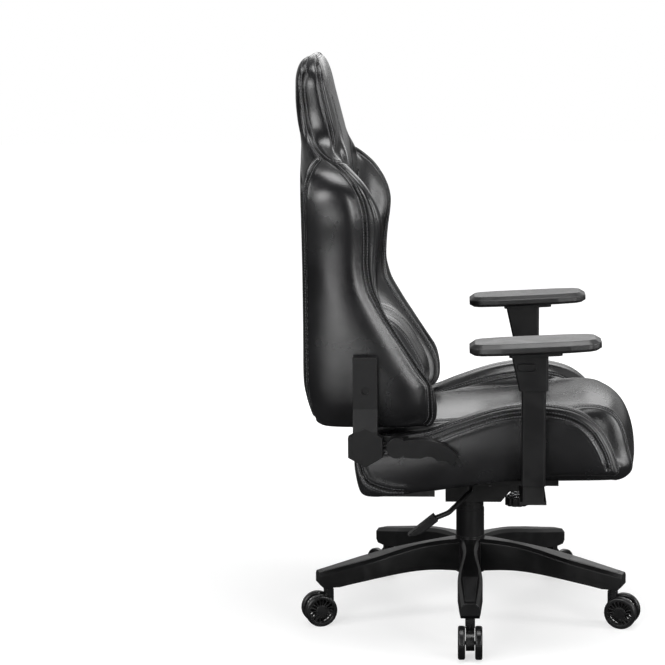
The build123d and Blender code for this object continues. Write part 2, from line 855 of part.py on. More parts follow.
# -------------------------------------------------------------- hinge cover
def cover_block(side, inset):
    # arm plate, sloping facet and hexagon, grown outwards from the hinge arm
    half_width = cover_arm_width / 2 - inset
    low_depth = cover_hex_depth - inset
    high_depth = cover_arm_depth - inset
    with BuildPart() as block:
        with BuildSketch(Plane.YZ.offset(pivot_x - half_width)):
            Polygon(
                (side * cover_inner, pivot_z),
                (side * (cover_inner + low_depth), pivot_z),
                (side * (cover_inner + low_depth), cover_facet_low),
                (side * (cover_inner + high_depth), cover_facet_high),
                (side * (cover_inner + high_depth), cover_arm_top - inset),
                (side * cover_inner, cover_arm_top - inset),
                align=None,
            )
        extrude(amount=2 * half_width)
        with BuildSketch(Plane.XZ.offset(-side * cover_inner)):
            with Locations((pivot_x, pivot_z)):
                RegularPolygon(cover_hex_flat / 2 - inset, 6, major_radius=False, rotation=30)
        extrude(amount=-side * low_depth)
    return block.part


def make_cover(side):
    with BuildPart() as cover:
        add(cover_block(side, 0))
        add(cover_block(side, cover_shell), mode=Mode.SUBTRACT)
        screw_plane = Plane.XZ.offset(-side * (cover_inner + cover_arm_depth))
        with BuildSketch(screw_plane):
            with Locations((pivot_x, pivot_z + arm_bolt_rise[0])):
                Circle(cover_screw_radius)
        extrude(amount=side * (cover_arm_depth - 4.5))
        with BuildSketch(screw_plane):
            with Locations((pivot_x, pivot_z + arm_bolt_rise[0])):
                Circle(cover_screw_radius - 2)
        extrude(amount=side * 5, mode=Mode.SUBTRACT)
    return cover.part


hinge_covers = Compound(children=[make_cover(-1), make_cover(1)])
hinge_covers.label = "hinge_covers"
export_step(hinge_covers, "parts/hinge_covers.step")

# ------------------------------------------------------------ recline lever
lever_foot = hinge_inner + hinge_plate + running
strip_inner = grip_inner + grip_thickness / 2 - 2
with BuildPart() as recline_lever:
    with BuildSketch(Plane.XZ.offset(lever_foot)):
        with Locations((recline_lever_x, pivot_z)):
            Circle(lever_hub_radius)
    extrude(amount=strip_inner + 4 - lever_foot)
    with BuildSketch(Plane.XZ.offset(strip_inner)):
        with Locations((recline_lever_x + lever_strip_length / 2, pivot_z)):
            Rectangle(lever_strip_length, lever_strip_height)
    extrude(amount=4)
    with BuildSketch(Plane.XZ.offset(lever_foot)):
        with Locations((recline_lever_x, pivot_z)):
            Circle(lever_pin_radius + running)
    extrude(amount=strip_inner + 4 - lever_foot, mode=Mode.SUBTRACT)
recline_lever.part.label = "recline_lever"
export_step(recline_lever.part, "parts/recline_lever.step")

grip_start = recline_lever_x + lever_root_radius - 6
grip_end = grip_start + grip_length
grip_low = pivot_z - grip_height / 2
with BuildPart() as lever_grip:
    with BuildSketch(Plane.XZ.offset(grip_inner)):
        with BuildLine():
            Spline(
                (grip_start, pivot_z + grip_height / 2 - 4),
                (grip_start + grip_length * 0.35, pivot_z + grip_height / 2 - 1),
                (grip_start + grip_length * 0.75, pivot_z + 6),
                (grip_end, pivot_z - 15),
            )
            Line((grip_end, pivot_z - 15), (grip_end - 10, pivot_z - 38))
            ThreePointArc(
                (grip_end - 10, pivot_z - 38), (grip_end - 22, pivot_z - 25), (grip_end - 38, pivot_z - 25)
            )
            ThreePointArc(
                (grip_end - 38, pivot_z - 25), (grip_end - 54, pivot_z - 16), (grip_end - 70, pivot_z - 20)
            )
            Line((grip_end - 70, pivot_z - 20), (grip_start, grip_low))
            Line((grip_start, grip_low), (grip_start, pivot_z + grip_height / 2 - 4))
        make_face()
        with Locations((recline_lever_x, pivot_z)):
            Circle(lever_root_radius)
    extrude(amount=grip_thickness)
    add(recline_lever.part, mode=Mode.SUBTRACT)
    with BuildSketch(Plane.XZ.offset(grip_inner)):
        with Locations((recline_lever_x, pivot_z)):
            Circle(lever_pin_radius + 3 + running)
    extrude(amount=grip_thickness - 2, mode=Mode.SUBTRACT)
lever_grip.part.label = "lever_grip"
export_step(lever_grip.part, "parts/lever_grip.step")

# ------------------------------------------------------------- seat cushion
with BuildPart() as seat_cushion:
    with BuildSketch(Plane.XZ):
        with BuildLine():
            Spline((-214, 396), (-150, 427), (0, 441), (120, 452), (240, 467))
            Spline(
                (240, 467), (303, 443), (329, 345), (318, 320), (287, 313),
                tangents=((1, 0.05), (-1, -0.05)),
            )
            Line((287, 313), (-120, 306))
            Line((-120, 306), (-190, 300))
            ThreePointArc((-190, 300), (-209, 305), (-216, 322))
            Line((-216, 322), (-222, 385))
            Line((-222, 385), (-214, 396))
        make_face()
    extrude(amount=bolster_inner, both=True)
    for side in (-1, 1):
        with BuildSketch(Plane.XZ.offset(-side * (bolster_inner - 6))):
            with BuildLine():
                Spline((-214, 396), (-170, 415), (-84, 428), (-20, 452), (60, 477), (140, 483), (210, 468))
                Spline((210, 468), (245, 441), (272, 396), (286, 353))
                Line((286, 353), (278, 344))
                Line((278, 344), (172, 344))
                Line((172, 344), (-120, 306))
                Line((-120, 306), (-190, 300))
                ThreePointArc((-190, 300), (-209, 305), (-216, 322))
                Line((-216, 322), (-222, 385))
                Line((-222, 385), (-214, 396))
            make_face()
        extrude(amount=-side * (seat_half_width - bolster_inner + 6))
    # flat under the backrest
    add(
        bar_x(under_back - 120, 0, back_bottom - gap + 50, 240, 2 * seat_half_width, 100),
        mode=Mode.SUBTRACT,
    )
    for side in (-1, 1):
        # pocket for the hinge and the lever, outside the hinge plate
        with BuildSketch(Plane.XZ.offset(-side * (hinge_inner - gap))):
            with Locations((pivot_x, pivot_z)):
                Circle(cover_hex_flat * 0.62)
            with Locations(((recline_lever_x + pivot_x) / 2, pivot_z + 5)):
                Rectangle(pivot_x * -1 + recline_lever_x + 2 * 25, 56)
        extrude(amount=-side * 40, mode=Mode.SUBTRACT)
        # slot for the rest of the plate
        with BuildSketch(Plane.XZ.offset(-side * (hinge_inner - gap))):
            lower_plate_outline(gap)
        extrude(amount=-side * (hinge_plate + 2 * gap), mode=Mode.SUBTRACT)
    slot_height = frame_top + gap - frame_bottom + 30
    slot_centre = frame_top + gap - slot_height / 2
    recess_rear = rail_rear_x - rail_size / 2 - gap
    recess_front = rail_front_x + rail_size / 2 + gap
    recess_half = rail_y + rail_size / 2 + gap
    recess_top = frame_top + strap_thickness + gap
    add(
        bar_x((recess_rear + recess_front) / 2, 0, recess_top - 25, recess_front - recess_rear,
              2 * recess_half, 50),
        mode=Mode.SUBTRACT,
    )
    for place in (rail_rear_x, rail_mid_x):
        add(
            bar_x(place, 0, slot_centre, rail_size + 2 * gap, 2 * hinge_inner, slot_height),
            mode=Mode.SUBTRACT,
        )
seat_cushion.part.label = "seat_cushion"
export_step(seat_cushion.part, "parts/seat_cushion.step")


# --------------------------------------------------------------- back frame
def tube_loop(radius):
    side_path = [
        (pivot_x, 447),
        (pivot_x, 570),
        (-287, 690),
        (-290, back_frame_top),
    ]
    with BuildPart() as loop:
        with BuildLine() as path:
            FilletPolyline(
                *[(x, back_tube_y, z) for x, z in side_path],
                *[(x, -back_tube_y, z) for x, z in reversed(side_path)],
                radius=30,
            )
        with BuildSketch(Plane(origin=path.line @ 0, z_dir=path.line % 0)):
            Circle(radius)
        sweep(path=path.line)
    return loop.part


def head_loop(radius):
    with BuildPart() as loop:
        with BuildLine() as path:
            FilletPolyline(
                (-290, 85, back_frame_top - head_loop_sink), (-298, 85, up_head(0.8)),
                (-298, -85, up_head(0.8)), (-290, -85, back_frame_top - head_loop_sink), radius=30
            )
        with BuildSketch(Plane(origin=path.line @ 0, z_dir=path.line % 0)):
            Circle(radius)
        sweep(path=path.line)
    return loop.part


def back_frame_blank():
    # the frame without its bores, which the cushion is moulded round
    with BuildPart() as blank:
        add(tube_loop(back_tube_radius))
        add(head_loop(back_tube_radius))
        for side in (-1, 1):
            plate_y = side * (mount_plate_inner + mount_plate / 2)
            add(bar_x(pivot_x, plate_y, 510, 40, mount_plate, 126))
        add(bar_x(-287, 0, 690, 14, 2 * back_tube_y, 14))
        add(bar_x(pivot_x, 0, 462, 14, 2 * back_tube_y, 14))
    return blank.part


frame_blank = back_frame_blank()
with BuildPart() as back_frame:
    add(frame_blank)
    add(tube_loop(back_tube_radius - back_tube_wall), mode=Mode.SUBTRACT)
    add(head_loop(back_tube_radius - back_tube_wall), mode=Mode.SUBTRACT)
    for side in (-1, 1):
        with BuildSketch(Plane.XZ.offset(-side * mount_plate_inner)):
            with Locations(*[(pivot_x, pivot_z + bolt) for bolt in arm_bolt_rise]):
                Circle(arm_bolt_radius)
        extrude(amount=-side * mount_plate, mode=Mode.SUBTRACT)
back_frame.part.label = "back_frame"
export_step(back_frame.part, "parts/back_frame.step")

back_webbing = Compound(children=[
    bar_x(-288, 0, height, 2, 2 * (back_tube_y - back_tube_radius), strap_width)
    for height in (760, 820, 880)
])
back_webbing.label = "back_webbing"
export_step(back_webbing, "parts/back_webbing.step")


# ------------------------------------------------------------- back cushion
with BuildPart() as wings:
    with BuildSketch(Plane.XZ):
        with BuildLine():
            Spline(
                (-92, back_bottom), (-72, 455), (-76, 505), (-102, 549), (-127, 591), (-153, 632),
                (-176, 675), (-192, 713), (-197, 760), (-195, 800), (-198, 840), (-206, 877),
                (-220, 904), (-240, 928), (-262, 952), (-285, 975),
            )
            Line((-285, 975), (back_rear, 975))
            Line((back_rear, 975), (back_rear, 520))
            ThreePointArc((back_rear, 520), (-315, 472), (-290, back_bottom))
            Line((-290, back_bottom), (-92, back_bottom))
        make_face()
    extrude(amount=280, both=True)
    with BuildSketch(Plane.YZ):
        with Locations((0, 700)):
            Rectangle(2 * wing_inner, 1000)
    extrude(amount=400, both=True, mode=Mode.SUBTRACT)

with BuildPart() as panel:
    with BuildSketch(Plane.XZ):
        with BuildLine():
            Spline(
                (-190, back_bottom), (-204, 560), (-230, 700), (-240, 837), (-244, up_head(0.21)),
                (-257, up_head(0.52)), (-268, up_head(0.71)), (-280, up_head(0.885)), (-300, back_top),
            )
            Spline(
                (-300, back_top), (-321, up_head(0.985)), (-334, up_head(0.93)),
                (head_rear, up_head(0.82)), (head_rear, up_head(0.66)), (-336, up_head(0.48)),
                (-328, up_head(0.28)), (back_rear, up_head(0.12)),
            )
            Line((back_rear, up_head(0.12)), (back_rear, 520))
            ThreePointArc((back_rear, 520), (-315, 472), (-290, back_bottom))
            Line((-290, back_bottom), (-190, back_bottom))
        make_face()
    extrude(amount=280, both=True)

with BuildPart() as back_cushion:
    add(panel.part)
    add(wings.part)
    # half of the front view, from the bottom edge up to the top of the head
    with BuildSketch(Plane.YZ.offset(-400)):
        with BuildLine():
            Line((0, back_bottom), (228, back_bottom))
            Spline(
                (228, back_bottom), (245, 475), (248, 590), (241, 700), (252, 790),
                (267, shoulder_height - 10), (262, up_head(0.08)), (248, up_head(0.155)),
                (225, up_head(0.21)), (200, up_head(0.25)), (175, up_head(0.28)),
                (155, up_head(0.32)), (138, up_head(0.385)), (129, up_head(0.48)),
                (126, up_head(0.58)), (128, up_head(0.77)), (124, up_head(0.865)),
                (108, up_head(0.935)), (82, up_head(0.973)), (50, up_head(0.992)), (0, back_top),
            )
            Line((0, back_top), (0, back_bottom))
        make_face()
        mirror(about=Plane.YZ)
    extrude(amount=400, mode=Mode.INTERSECT)
    add(frame_blank, mode=Mode.SUBTRACT)
    add(back_webbing.solids(), mode=Mode.SUBTRACT)
    for side in (-1, 1):
        with BuildSketch(Plane.XZ.offset(-side * mount_plate_inner)):
            with Locations(*[(pivot_x, pivot_z + bolt) for bolt in arm_bolt_rise]):
                Circle(arm_boss_radius)
        extrude(amount=-side * 60, mode=Mode.SUBTRACT)
back_cushion.part.label = "back_cushion"
export_step(back_cushion.part, "parts/back_cushion.step")

with BuildPart() as lumbar_pillow:
    with BuildSketch(Plane.XZ):
        with BuildLine():
            Line((-240, 453), (-225, 610))
            Spline((-225, 610), (-180, 634), (-148, 622), (-112, 575), (-86, 520), (-80, 478), (-98, 453))
            Line((-98, 453), (-240, 453))
        make_face()
    extrude(amount=pillow_half, both=True)
    add(Pos(gap, 0, 0) * panel.part, mode=Mode.SUBTRACT)
lumbar_pillow.part.label = "lumbar_pillow"
export_step(lumbar_pillow.part, "parts/lumbar_pillow.step")


# ----------------------------------------------------------------- armrests
def make_bracket(side):
    # a foot under the side rail and a blade that stands inside the post
    reach = armrest_y + bracket_thickness / 2
    with BuildPart() as bracket:
        with BuildSketch(Plane.XY.offset(frame_bottom - bracket_thickness)):
            with Locations((post_x, side * (bracket_inner + reach) / 2)):
                Rectangle(bracket_width, reach - bracket_inner)
        extrude(amount=bracket_thickness)
        with BuildSketch(Plane.XY.offset(frame_bottom)):
            with Locations((post_x, side * armrest_y)):
                Rectangle(post_length - 2 * post_wall, bracket_thickness)
        extrude(amount=bracket_top - frame_bottom)
    return bracket.part


armrest_brackets = Compound(children=[make_bracket(-1), make_bracket(1)])
armrest_brackets.label = "armrest_brackets"
export_step(armrest_brackets, "parts/armrest_brackets.step")

post_bottom = frame_bottom + post_rise
tongue_length = post_length - 2 * post_wall - 2 * slip
tongue_width = post_width - 2 * post_wall - 2 * slip


def make_post(side):
    # slotted for the blade below, hollow for the shroud's tongue above
    hollow_floor = bracket_top + 2 * post_wall
    with BuildPart() as post:
        with BuildSketch(Plane.XY.offset(post_bottom)):
            with Locations((post_x, side * armrest_y)):
                RectangleRounded(post_length, post_width, 5)
        extrude(amount=post_top - post_bottom)
        with BuildSketch(Plane.XY.offset(post_bottom)):
            with Locations((post_x, side * armrest_y)):
                Rectangle(post_length - 2 * post_wall, bracket_thickness)
        extrude(amount=bracket_top - post_bottom, mode=Mode.SUBTRACT)
        with BuildSketch(Plane.XY.offset(hollow_floor)):
            with Locations((post_x, side * armrest_y)):
                Rectangle(post_length - 2 * post_wall, post_width - 2 * post_wall)
        extrude(amount=post_top - hollow_floor, mode=Mode.SUBTRACT)
    return post.part


armrest_posts = Compound(children=[make_post(-1), make_post(1)])
armrest_posts.label = "armrest_posts"
export_step(armrest_posts, "parts/armrest_posts.step")

slope = radians(pad_slope)
frame_bolt_places = [
    (post_x + along, side * rail_y)
    for along in (-bracket_width / 4, bracket_width / 4)
    for side in (-1, 1)
]


def make_frame_bolt(place_x, place_y):
    with BuildPart() as bolt:
        with BuildSketch(Plane.XY.offset(frame_bottom - bracket_thickness - 4)):
            with Locations((place_x, place_y)):
                RegularPolygon(6.5, 6)
        extrude(amount=4)
    return bolt.part


frame_bolts = Compound(children=[make_frame_bolt(*place) for place in frame_bolt_places])
frame_bolts.label = "frame_bolts"
export_step(frame_bolts, "parts/frame_bolts.step")


def pad_plane(side, lift):
    return Plane(
        origin=(pad_centre_x - lift * sin(slope), side * pad_y, pad_underside + lift * cos(slope)),
        x_dir=(cos(slope), 0, sin(slope)),
        z_dir=(-sin(slope), 0, cos(slope)),
    )


def make_shroud(side):
    shroud_top = pad_underside + 10
    with BuildPart() as shroud:
        with BuildSketch(Plane.XZ.offset(-side * (armrest_y - shroud_width / 2))):
            Polygon(
                (shroud_bottom_rear, shroud_bottom),
                (shroud_front, shroud_bottom),
                (shroud_front, shroud_top),
                (shroud_top_rear, shroud_top),
                align=None,
            )
        extrude(amount=-side * shroud_width)
        uprights = shroud.edges().filter_by(lambda edge: edge.length > 60)
        fillet(uprights, radius=5)
        with BuildSketch(pad_plane(side, -pad_carrier)):
            Rectangle(400, 400)
        extrude(amount=60, mode=Mode.SUBTRACT)
        with BuildSketch(Plane.XY.offset(shroud_bottom)):
            with Locations((post_x, side * armrest_y)):
                Rectangle(post_length + 2 * slip, post_width + 2 * slip)
        extrude(amount=post_top + 4 - shroud_bottom, mode=Mode.SUBTRACT)
        with BuildSketch(Plane.XY.offset(tongue_bottom)):
            with Locations((post_x, side * armrest_y)):
                Rectangle(tongue_length, tongue_width)
        extrude(amount=post_top + 6 - tongue_bottom)
        button_face = armrest_y + shroud_width / 2
        with BuildSketch(Plane.XZ.offset(-side * button_face)):
            with Locations((button_x, button_z)):
                RectangleRounded(34 + 2 * gap, 14 + 2 * gap, 5)
        extrude(amount=side * 5.5, mode=Mode.SUBTRACT)
    return shroud.part


def make_height_button(side):
    button_face = armrest_y + shroud_width / 2
    with BuildPart() as button:
        with BuildSketch(Plane.XZ.offset(-side * (button_face - 3))):
            with Locations((button_x, button_z)):
                RectangleRounded(34, 14, 5)
        extrude(amount=-side * 5.5)
        outer = button.faces().sort_by(Axis.Y)[0 if side < 0 else -1]
        fillet(outer.edges(), radius=1.5)
    return button.part


def make_carrier(side):
    with BuildPart() as carrier:
        with BuildSketch(pad_plane(side, -pad_carrier + running)):
            RectangleRounded(carrier_length, carrier_width, 8)
        extrude(amount=pad_carrier - gap - running)
        with BuildSketch(pad_plane(side, -gap)):
            with Locations((0, -16), (0, 16)):
                Rectangle(60, 8)
        extrude(amount=carrier_rail)
    return carrier.part


def make_pad(side):
    half_length = pad_length / 2
    half_width = pad_width / 2
    with BuildPart() as pad:
        with BuildSketch(pad_plane(side, 0)) as outline:
            Polygon(
                (-half_length, -half_width + 20),
                (-half_length + 18, -half_width + 6),
                (-half_length + 60, -half_width),
                (half_length - 60, -half_width),
                (half_length - 18, -half_width + 7),
                (half_length, -half_width + 23),
                (half_length, half_width - 23),
                (half_length - 18, half_width - 7),
                (half_length - 60, half_width),
                (-half_length + 60, half_width),
                (-half_length + 18, half_width - 6),
                (-half_length, half_width - 20),
                align=None,
            )
            fillet(outline.vertices(), radius=pad_corner)
        extrude(amount=pad_thickness)
        top = pad.faces().sort_by(Axis.Z)[-1]
        chamfer(top.edges(), length=11, length2=7, reference=top)
        bottom = pad.faces().sort_by(Axis.Z)[0]
        chamfer(bottom.edges(), length=8, length2=5, reference=bottom)
        with BuildSketch(pad_plane(side, 0)):
            with Locations((0, -16), (0, 16)):
                Rectangle(60 + 2 * pad_travel + 2, 8 + 2 * slip)
        extrude(amount=carrier_rail + gap, mode=Mode.SUBTRACT)
    return pad.part


for side, name in ((-1, "right"), (1, "left")):
    armrest_shroud = make_shroud(side)
    armrest_shroud.label = f"armrest_shroud_{name}"
    export_step(armrest_shroud, f"parts/armrest_shroud_{name}.step")
    armrest_button = make_height_button(side)
    armrest_button.label = f"armrest_button_{name}"
    export_step(armrest_button, f"parts/armrest_button_{name}.step")
    armrest_carrier = make_carrier(side)
    armrest_carrier.label = f"armrest_carrier_{name}"
    export_step(armrest_carrier, f"parts/armrest_carrier_{name}.step")
    armrest_pad = make_pad(side)
    armrest_pad.label = f"armrest_pad_{name}"
    export_step(armrest_pad, f"parts/armrest_pad_{name}.step")
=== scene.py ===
import json
import math
import bpy
import numpy as np
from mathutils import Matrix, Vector, kdtree
from mathutils.bvhtree import BVHTree


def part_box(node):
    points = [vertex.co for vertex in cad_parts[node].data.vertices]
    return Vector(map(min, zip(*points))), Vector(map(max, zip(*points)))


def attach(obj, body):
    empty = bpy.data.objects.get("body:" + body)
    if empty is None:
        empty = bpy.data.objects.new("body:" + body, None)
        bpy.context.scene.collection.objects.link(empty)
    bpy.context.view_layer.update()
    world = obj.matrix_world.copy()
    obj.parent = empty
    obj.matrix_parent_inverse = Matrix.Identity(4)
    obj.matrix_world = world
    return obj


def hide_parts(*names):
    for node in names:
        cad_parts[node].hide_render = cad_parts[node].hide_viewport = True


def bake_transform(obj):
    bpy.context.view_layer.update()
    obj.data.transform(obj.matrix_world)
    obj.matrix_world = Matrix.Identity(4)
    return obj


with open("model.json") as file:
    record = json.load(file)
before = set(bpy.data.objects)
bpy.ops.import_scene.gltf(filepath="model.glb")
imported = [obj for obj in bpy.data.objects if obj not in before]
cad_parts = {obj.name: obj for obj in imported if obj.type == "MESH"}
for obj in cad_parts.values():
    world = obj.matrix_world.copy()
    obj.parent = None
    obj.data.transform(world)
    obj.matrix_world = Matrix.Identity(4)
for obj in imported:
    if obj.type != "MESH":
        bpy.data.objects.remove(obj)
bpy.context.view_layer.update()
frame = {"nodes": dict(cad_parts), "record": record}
print("frame loaded,", len(frame["nodes"]), "nodes")

# small helpers for shader nodes


def plug(tree, value, socket):
    # a socket takes a plain number or what another node gives out
    if isinstance(value, (int, float)):
        socket.default_value = value
    else:
        tree.links.new(value, socket)


def mathNode(tree, operation, first, second=None, third=None):
    node = tree.nodes.new("ShaderNodeMath")
    node.operation = operation
    for slot, value in enumerate((first, second, third)):
        if value is not None:
            plug(tree, value, node.inputs[slot])
    return node.outputs[0]


def vectorNode(tree, operation, first, second=None, scale=None):
    node = tree.nodes.new("ShaderNodeVectorMath")
    node.operation = operation
    for slot, value in ((0, first), (1, second), ("Scale", scale)):
        if value is not None:
            plug(tree, value, node.inputs[slot])
    return node.outputs


def rangeNode(tree, value, low, high, outLow=0.0, outHigh=1.0):
    node = tree.nodes.new("ShaderNodeMapRange")
    node.interpolation_type = "SMOOTHSTEP"
    plug(tree, value, node.inputs["Value"])
    for label, number in (("From Min", low), ("From Max", high), ("To Min", outLow), ("To Max", outHigh)):
        plug(tree, number, node.inputs[label])
    return node.outputs["Result"]


def textureNode(tree, kind, place, **values):
    node = tree.nodes.new("ShaderNodeTex" + kind)
    tree.links.new(place, node.inputs["Vector"])
    for label, value in values.items():
        plug(tree, value, node.inputs[label])
    return node


def ownPlace(tree):
    return tree.nodes.new("ShaderNodeTexCoord").outputs["Object"]


def newMaterial(name):
    material = bpy.data.materials.new(name)
    material.use_nodes = True
    return material, material.node_tree, material.node_tree.nodes["Principled BSDF"]


def rayKinds(tree):
    # 1 for rays straight from the camera or through glass, then 1 for rays that a glossy surface mirrors
    path = tree.nodes.new("ShaderNodeLightPath")
    direct = mathNode(tree, "MAXIMUM", path.outputs["Is Camera Ray"], path.outputs["Is Transmission Ray"])
    return direct, path.outputs["Is Glossy Ray"]


# camera, lamps and floor

cameraSetup = {"place": (0.0, -4.397, 1.316), "turn": (80.532, 0.5825, 3.522), "lens": 119.46}
turn = [math.radians(angle) for angle in cameraSetup["turn"]]
bpy.ops.object.camera_add(location=cameraSetup["place"], rotation=turn)
camera = bpy.context.object
camera.name = "camera"
camera.data.lens = cameraSetup["lens"]
camera.data.sensor_width = 36
camera.data.clip_end = 60
bpy.context.scene.camera = camera

lampSetup = {
    "overhead": {"place": (0.2, -0.3, 3.2), "aim": (0, 0, 0.6), "size": (1.6, 1.4), "power": 62},
    "leftRear": {"place": (-2.4, -1.4, 2.0), "aim": (-0.1, 0, 0.8), "size": (0.8, 1.8), "power": 34},
    "rightFront": {"place": (2.7, -0.7, 1.3), "aim": (0, 0, 0.7), "size": (0.8, 1.7), "power": 36},
    "lowNear": {"place": (-0.62, -2.4, 0.26), "aim": (-0.25, 0, 0.78), "size": (0.75, 0.5), "power": 7},
    "sideFill": {"place": (-1.35, -3.0, 1.5), "aim": (-0.25, -0.2, 0.85), "size": (1.2, 1.2), "power": 50},
    "edgeStrip": {"place": (1.9, -2.7, 0.95), "aim": (-0.1, -0.2, 0.8), "size": (0.4, 2.0), "power": 48},
    "farSide": {"place": (0.4, 3.0, 2.2), "aim": (0, 0, 0.6), "size": (2.4, 1.6), "power": 26},
}
for lampName, lamp in lampSetup.items():
    aim = Vector(lamp["aim"]) - Vector(lamp["place"])
    bpy.ops.object.light_add(type="AREA", location=lamp["place"], rotation=aim.to_track_quat("-Z", "Y").to_euler())
    light = bpy.context.object
    light.name = lampName
    light.data.shape = "RECTANGLE"
    light.data.size, light.data.size_y = lamp["size"]
    light.data.energy = lamp["power"]
    light.visible_camera = False

sceneWorld = bpy.data.worlds.new("studio")
bpy.context.scene.world = sceneWorld
sceneWorld.use_nodes = True
worldLook = {
    "light": 0.12, "seen": 1.0, "mirroredNear": 0.04, "mirroredFar": 0.42, "mirroredFront": 0.7,
    "wallFade": (-0.35, 0.75), "stripEdge": (0.10, 0.42), "stripAhead": (0.15, 0.6),
}
# glossy surfaces find a pale wall on the far side, a dim room on the near side
# and a bright upright strip in front of the object
room = sceneWorld.node_tree
direct, glossy = rayKinds(room)
axes = room.nodes.new("ShaderNodeSeparateXYZ")
room.links.new(room.nodes.new("ShaderNodeTexCoord").outputs["Generated"], axes.inputs[0])
wall = rangeNode(
    room, axes.outputs["Y"], *worldLook["wallFade"], worldLook["mirroredNear"], worldLook["mirroredFar"]
)
aside = mathNode(room, "ABSOLUTE", axes.outputs["Y"])
strip = rangeNode(room, aside, *worldLook["stripEdge"], worldLook["mirroredFront"], 0)
ahead = rangeNode(room, axes.outputs["X"], *worldLook["stripAhead"])
surround = mathNode(room, "MULTIPLY_ADD", strip, ahead, wall)
mirrored = rangeNode(room, glossy, 0, 1, worldLook["light"], surround)
backdrop = room.nodes["Background"]
backdrop.inputs["Color"].default_value = (1, 1, 1, 1)
plug(room, rangeNode(room, direct, 0, 1, mirrored, worldLook["seen"]), backdrop.inputs["Strength"])

floorSetup = {
    "size": 24.0, "colour": 0.42, "mirroredColour": 0.05, "rough": 0.75, "specular": 0.1,
    "glow": 0.62, "whiteFrom": 0.9, "whiteBy": 2.4,
}
bpy.ops.mesh.primitive_plane_add(size=floorSetup["size"], location=(0, 0, 0))
floor = bpy.context.object
floor.name = "floor"
floorMaterial, tree, shader = newMaterial("floorWhite")
# the floor turns into plain white away from the object, and stays dim in what the object mirrors
reach = vectorNode(tree, "LENGTH", ownPlace(tree))["Value"]
away = rangeNode(tree, reach, floorSetup["whiteFrom"], floorSetup["whiteBy"], floorSetup["glow"])
direct, glossy = rayKinds(tree)
shade = rangeNode(tree, glossy, 0, 1, floorSetup["colour"], floorSetup["mirroredColour"])
shader.inputs["Emission Color"].default_value = (1, 1, 1, 1)
for label, value in (
    ("Base Color", shade), ("Roughness", floorSetup["rough"]), ("Specular IOR Level", floorSetup["specular"]),
    ("Emission Strength", mathNode(tree, "MULTIPLY", direct, away)),
):
    plug(tree, value, shader.inputs[label])
floor.data.materials.append(floorMaterial)

view = bpy.context.scene.view_settings
view.view_transform = "Standard"
print("camera, lamps and floor set")

# shader groups that several materials share


def newGroup(name, numbersIn, labelsOut):
    group = bpy.data.node_groups.new(name, "ShaderNodeTree")
    for label, value in numbersIn.items():
        socket = group.interface.new_socket(name=label, in_out="INPUT", socket_type="NodeSocketFloat")
        socket.default_value = value
    for label in labelsOut:
        kind = "NodeSocketVector" if label == "Normal" else "NodeSocketFloat"
        group.interface.new_socket(name=label, in_out="OUTPUT", socket_type=kind)
    start = group.nodes.new("NodeGroupInput")
    end = group.nodes.new("NodeGroupOutput")
    return group, start, end


def leatherGrainGroup():
    # pebbled skin with finer creases between the pebbles, and slow changes over the hide
    group, start, end = newGroup("leatherGrain", {"Scale": 900.0}, ("Height", "Patch"))
    place = ownPlace(group)
    warp = textureNode(group, "Noise", place, Scale=60, Detail=2)
    shift = vectorNode(group, "SCALE", warp.outputs["Color"], scale=0.0016)[0]
    moved = vectorNode(group, "ADD", place, shift)[0]
    pebbles = textureNode(group, "Voronoi", moved, Scale=start.outputs["Scale"])
    pebbles.feature = "SMOOTH_F1"
    pebbles.inputs["Smoothness"].default_value = 0.35
    closer = mathNode(group, "MULTIPLY", start.outputs["Scale"], 1.7)
    fine = textureNode(group, "Noise", moved, Scale=closer, Detail=3)
    slow = textureNode(group, "Noise", place, Scale=9, Detail=4)
    height = mathNode(group, "SUBTRACT", 1.0, pebbles.outputs["Distance"])
    height = mathNode(group, "MULTIPLY_ADD", fine.outputs["Fac"], 0.45, height)
    group.links.new(height, end.inputs["Height"])
    group.links.new(slow.outputs["Fac"], end.inputs["Patch"])
    return group


# fades in metres from the seam, in shares of a stitch and in widths of the thread
sewnLook = {
    "reach": 0.009, "valley": (0.0002, 0.0019), "dash": (0.34, 0.42), "row": (0.55, 1.25), "trough": (0.8, 3.2),
    "threadHeight": 0.9, "troughDepth": 0.55, "valleyDepth": 1.3,
}


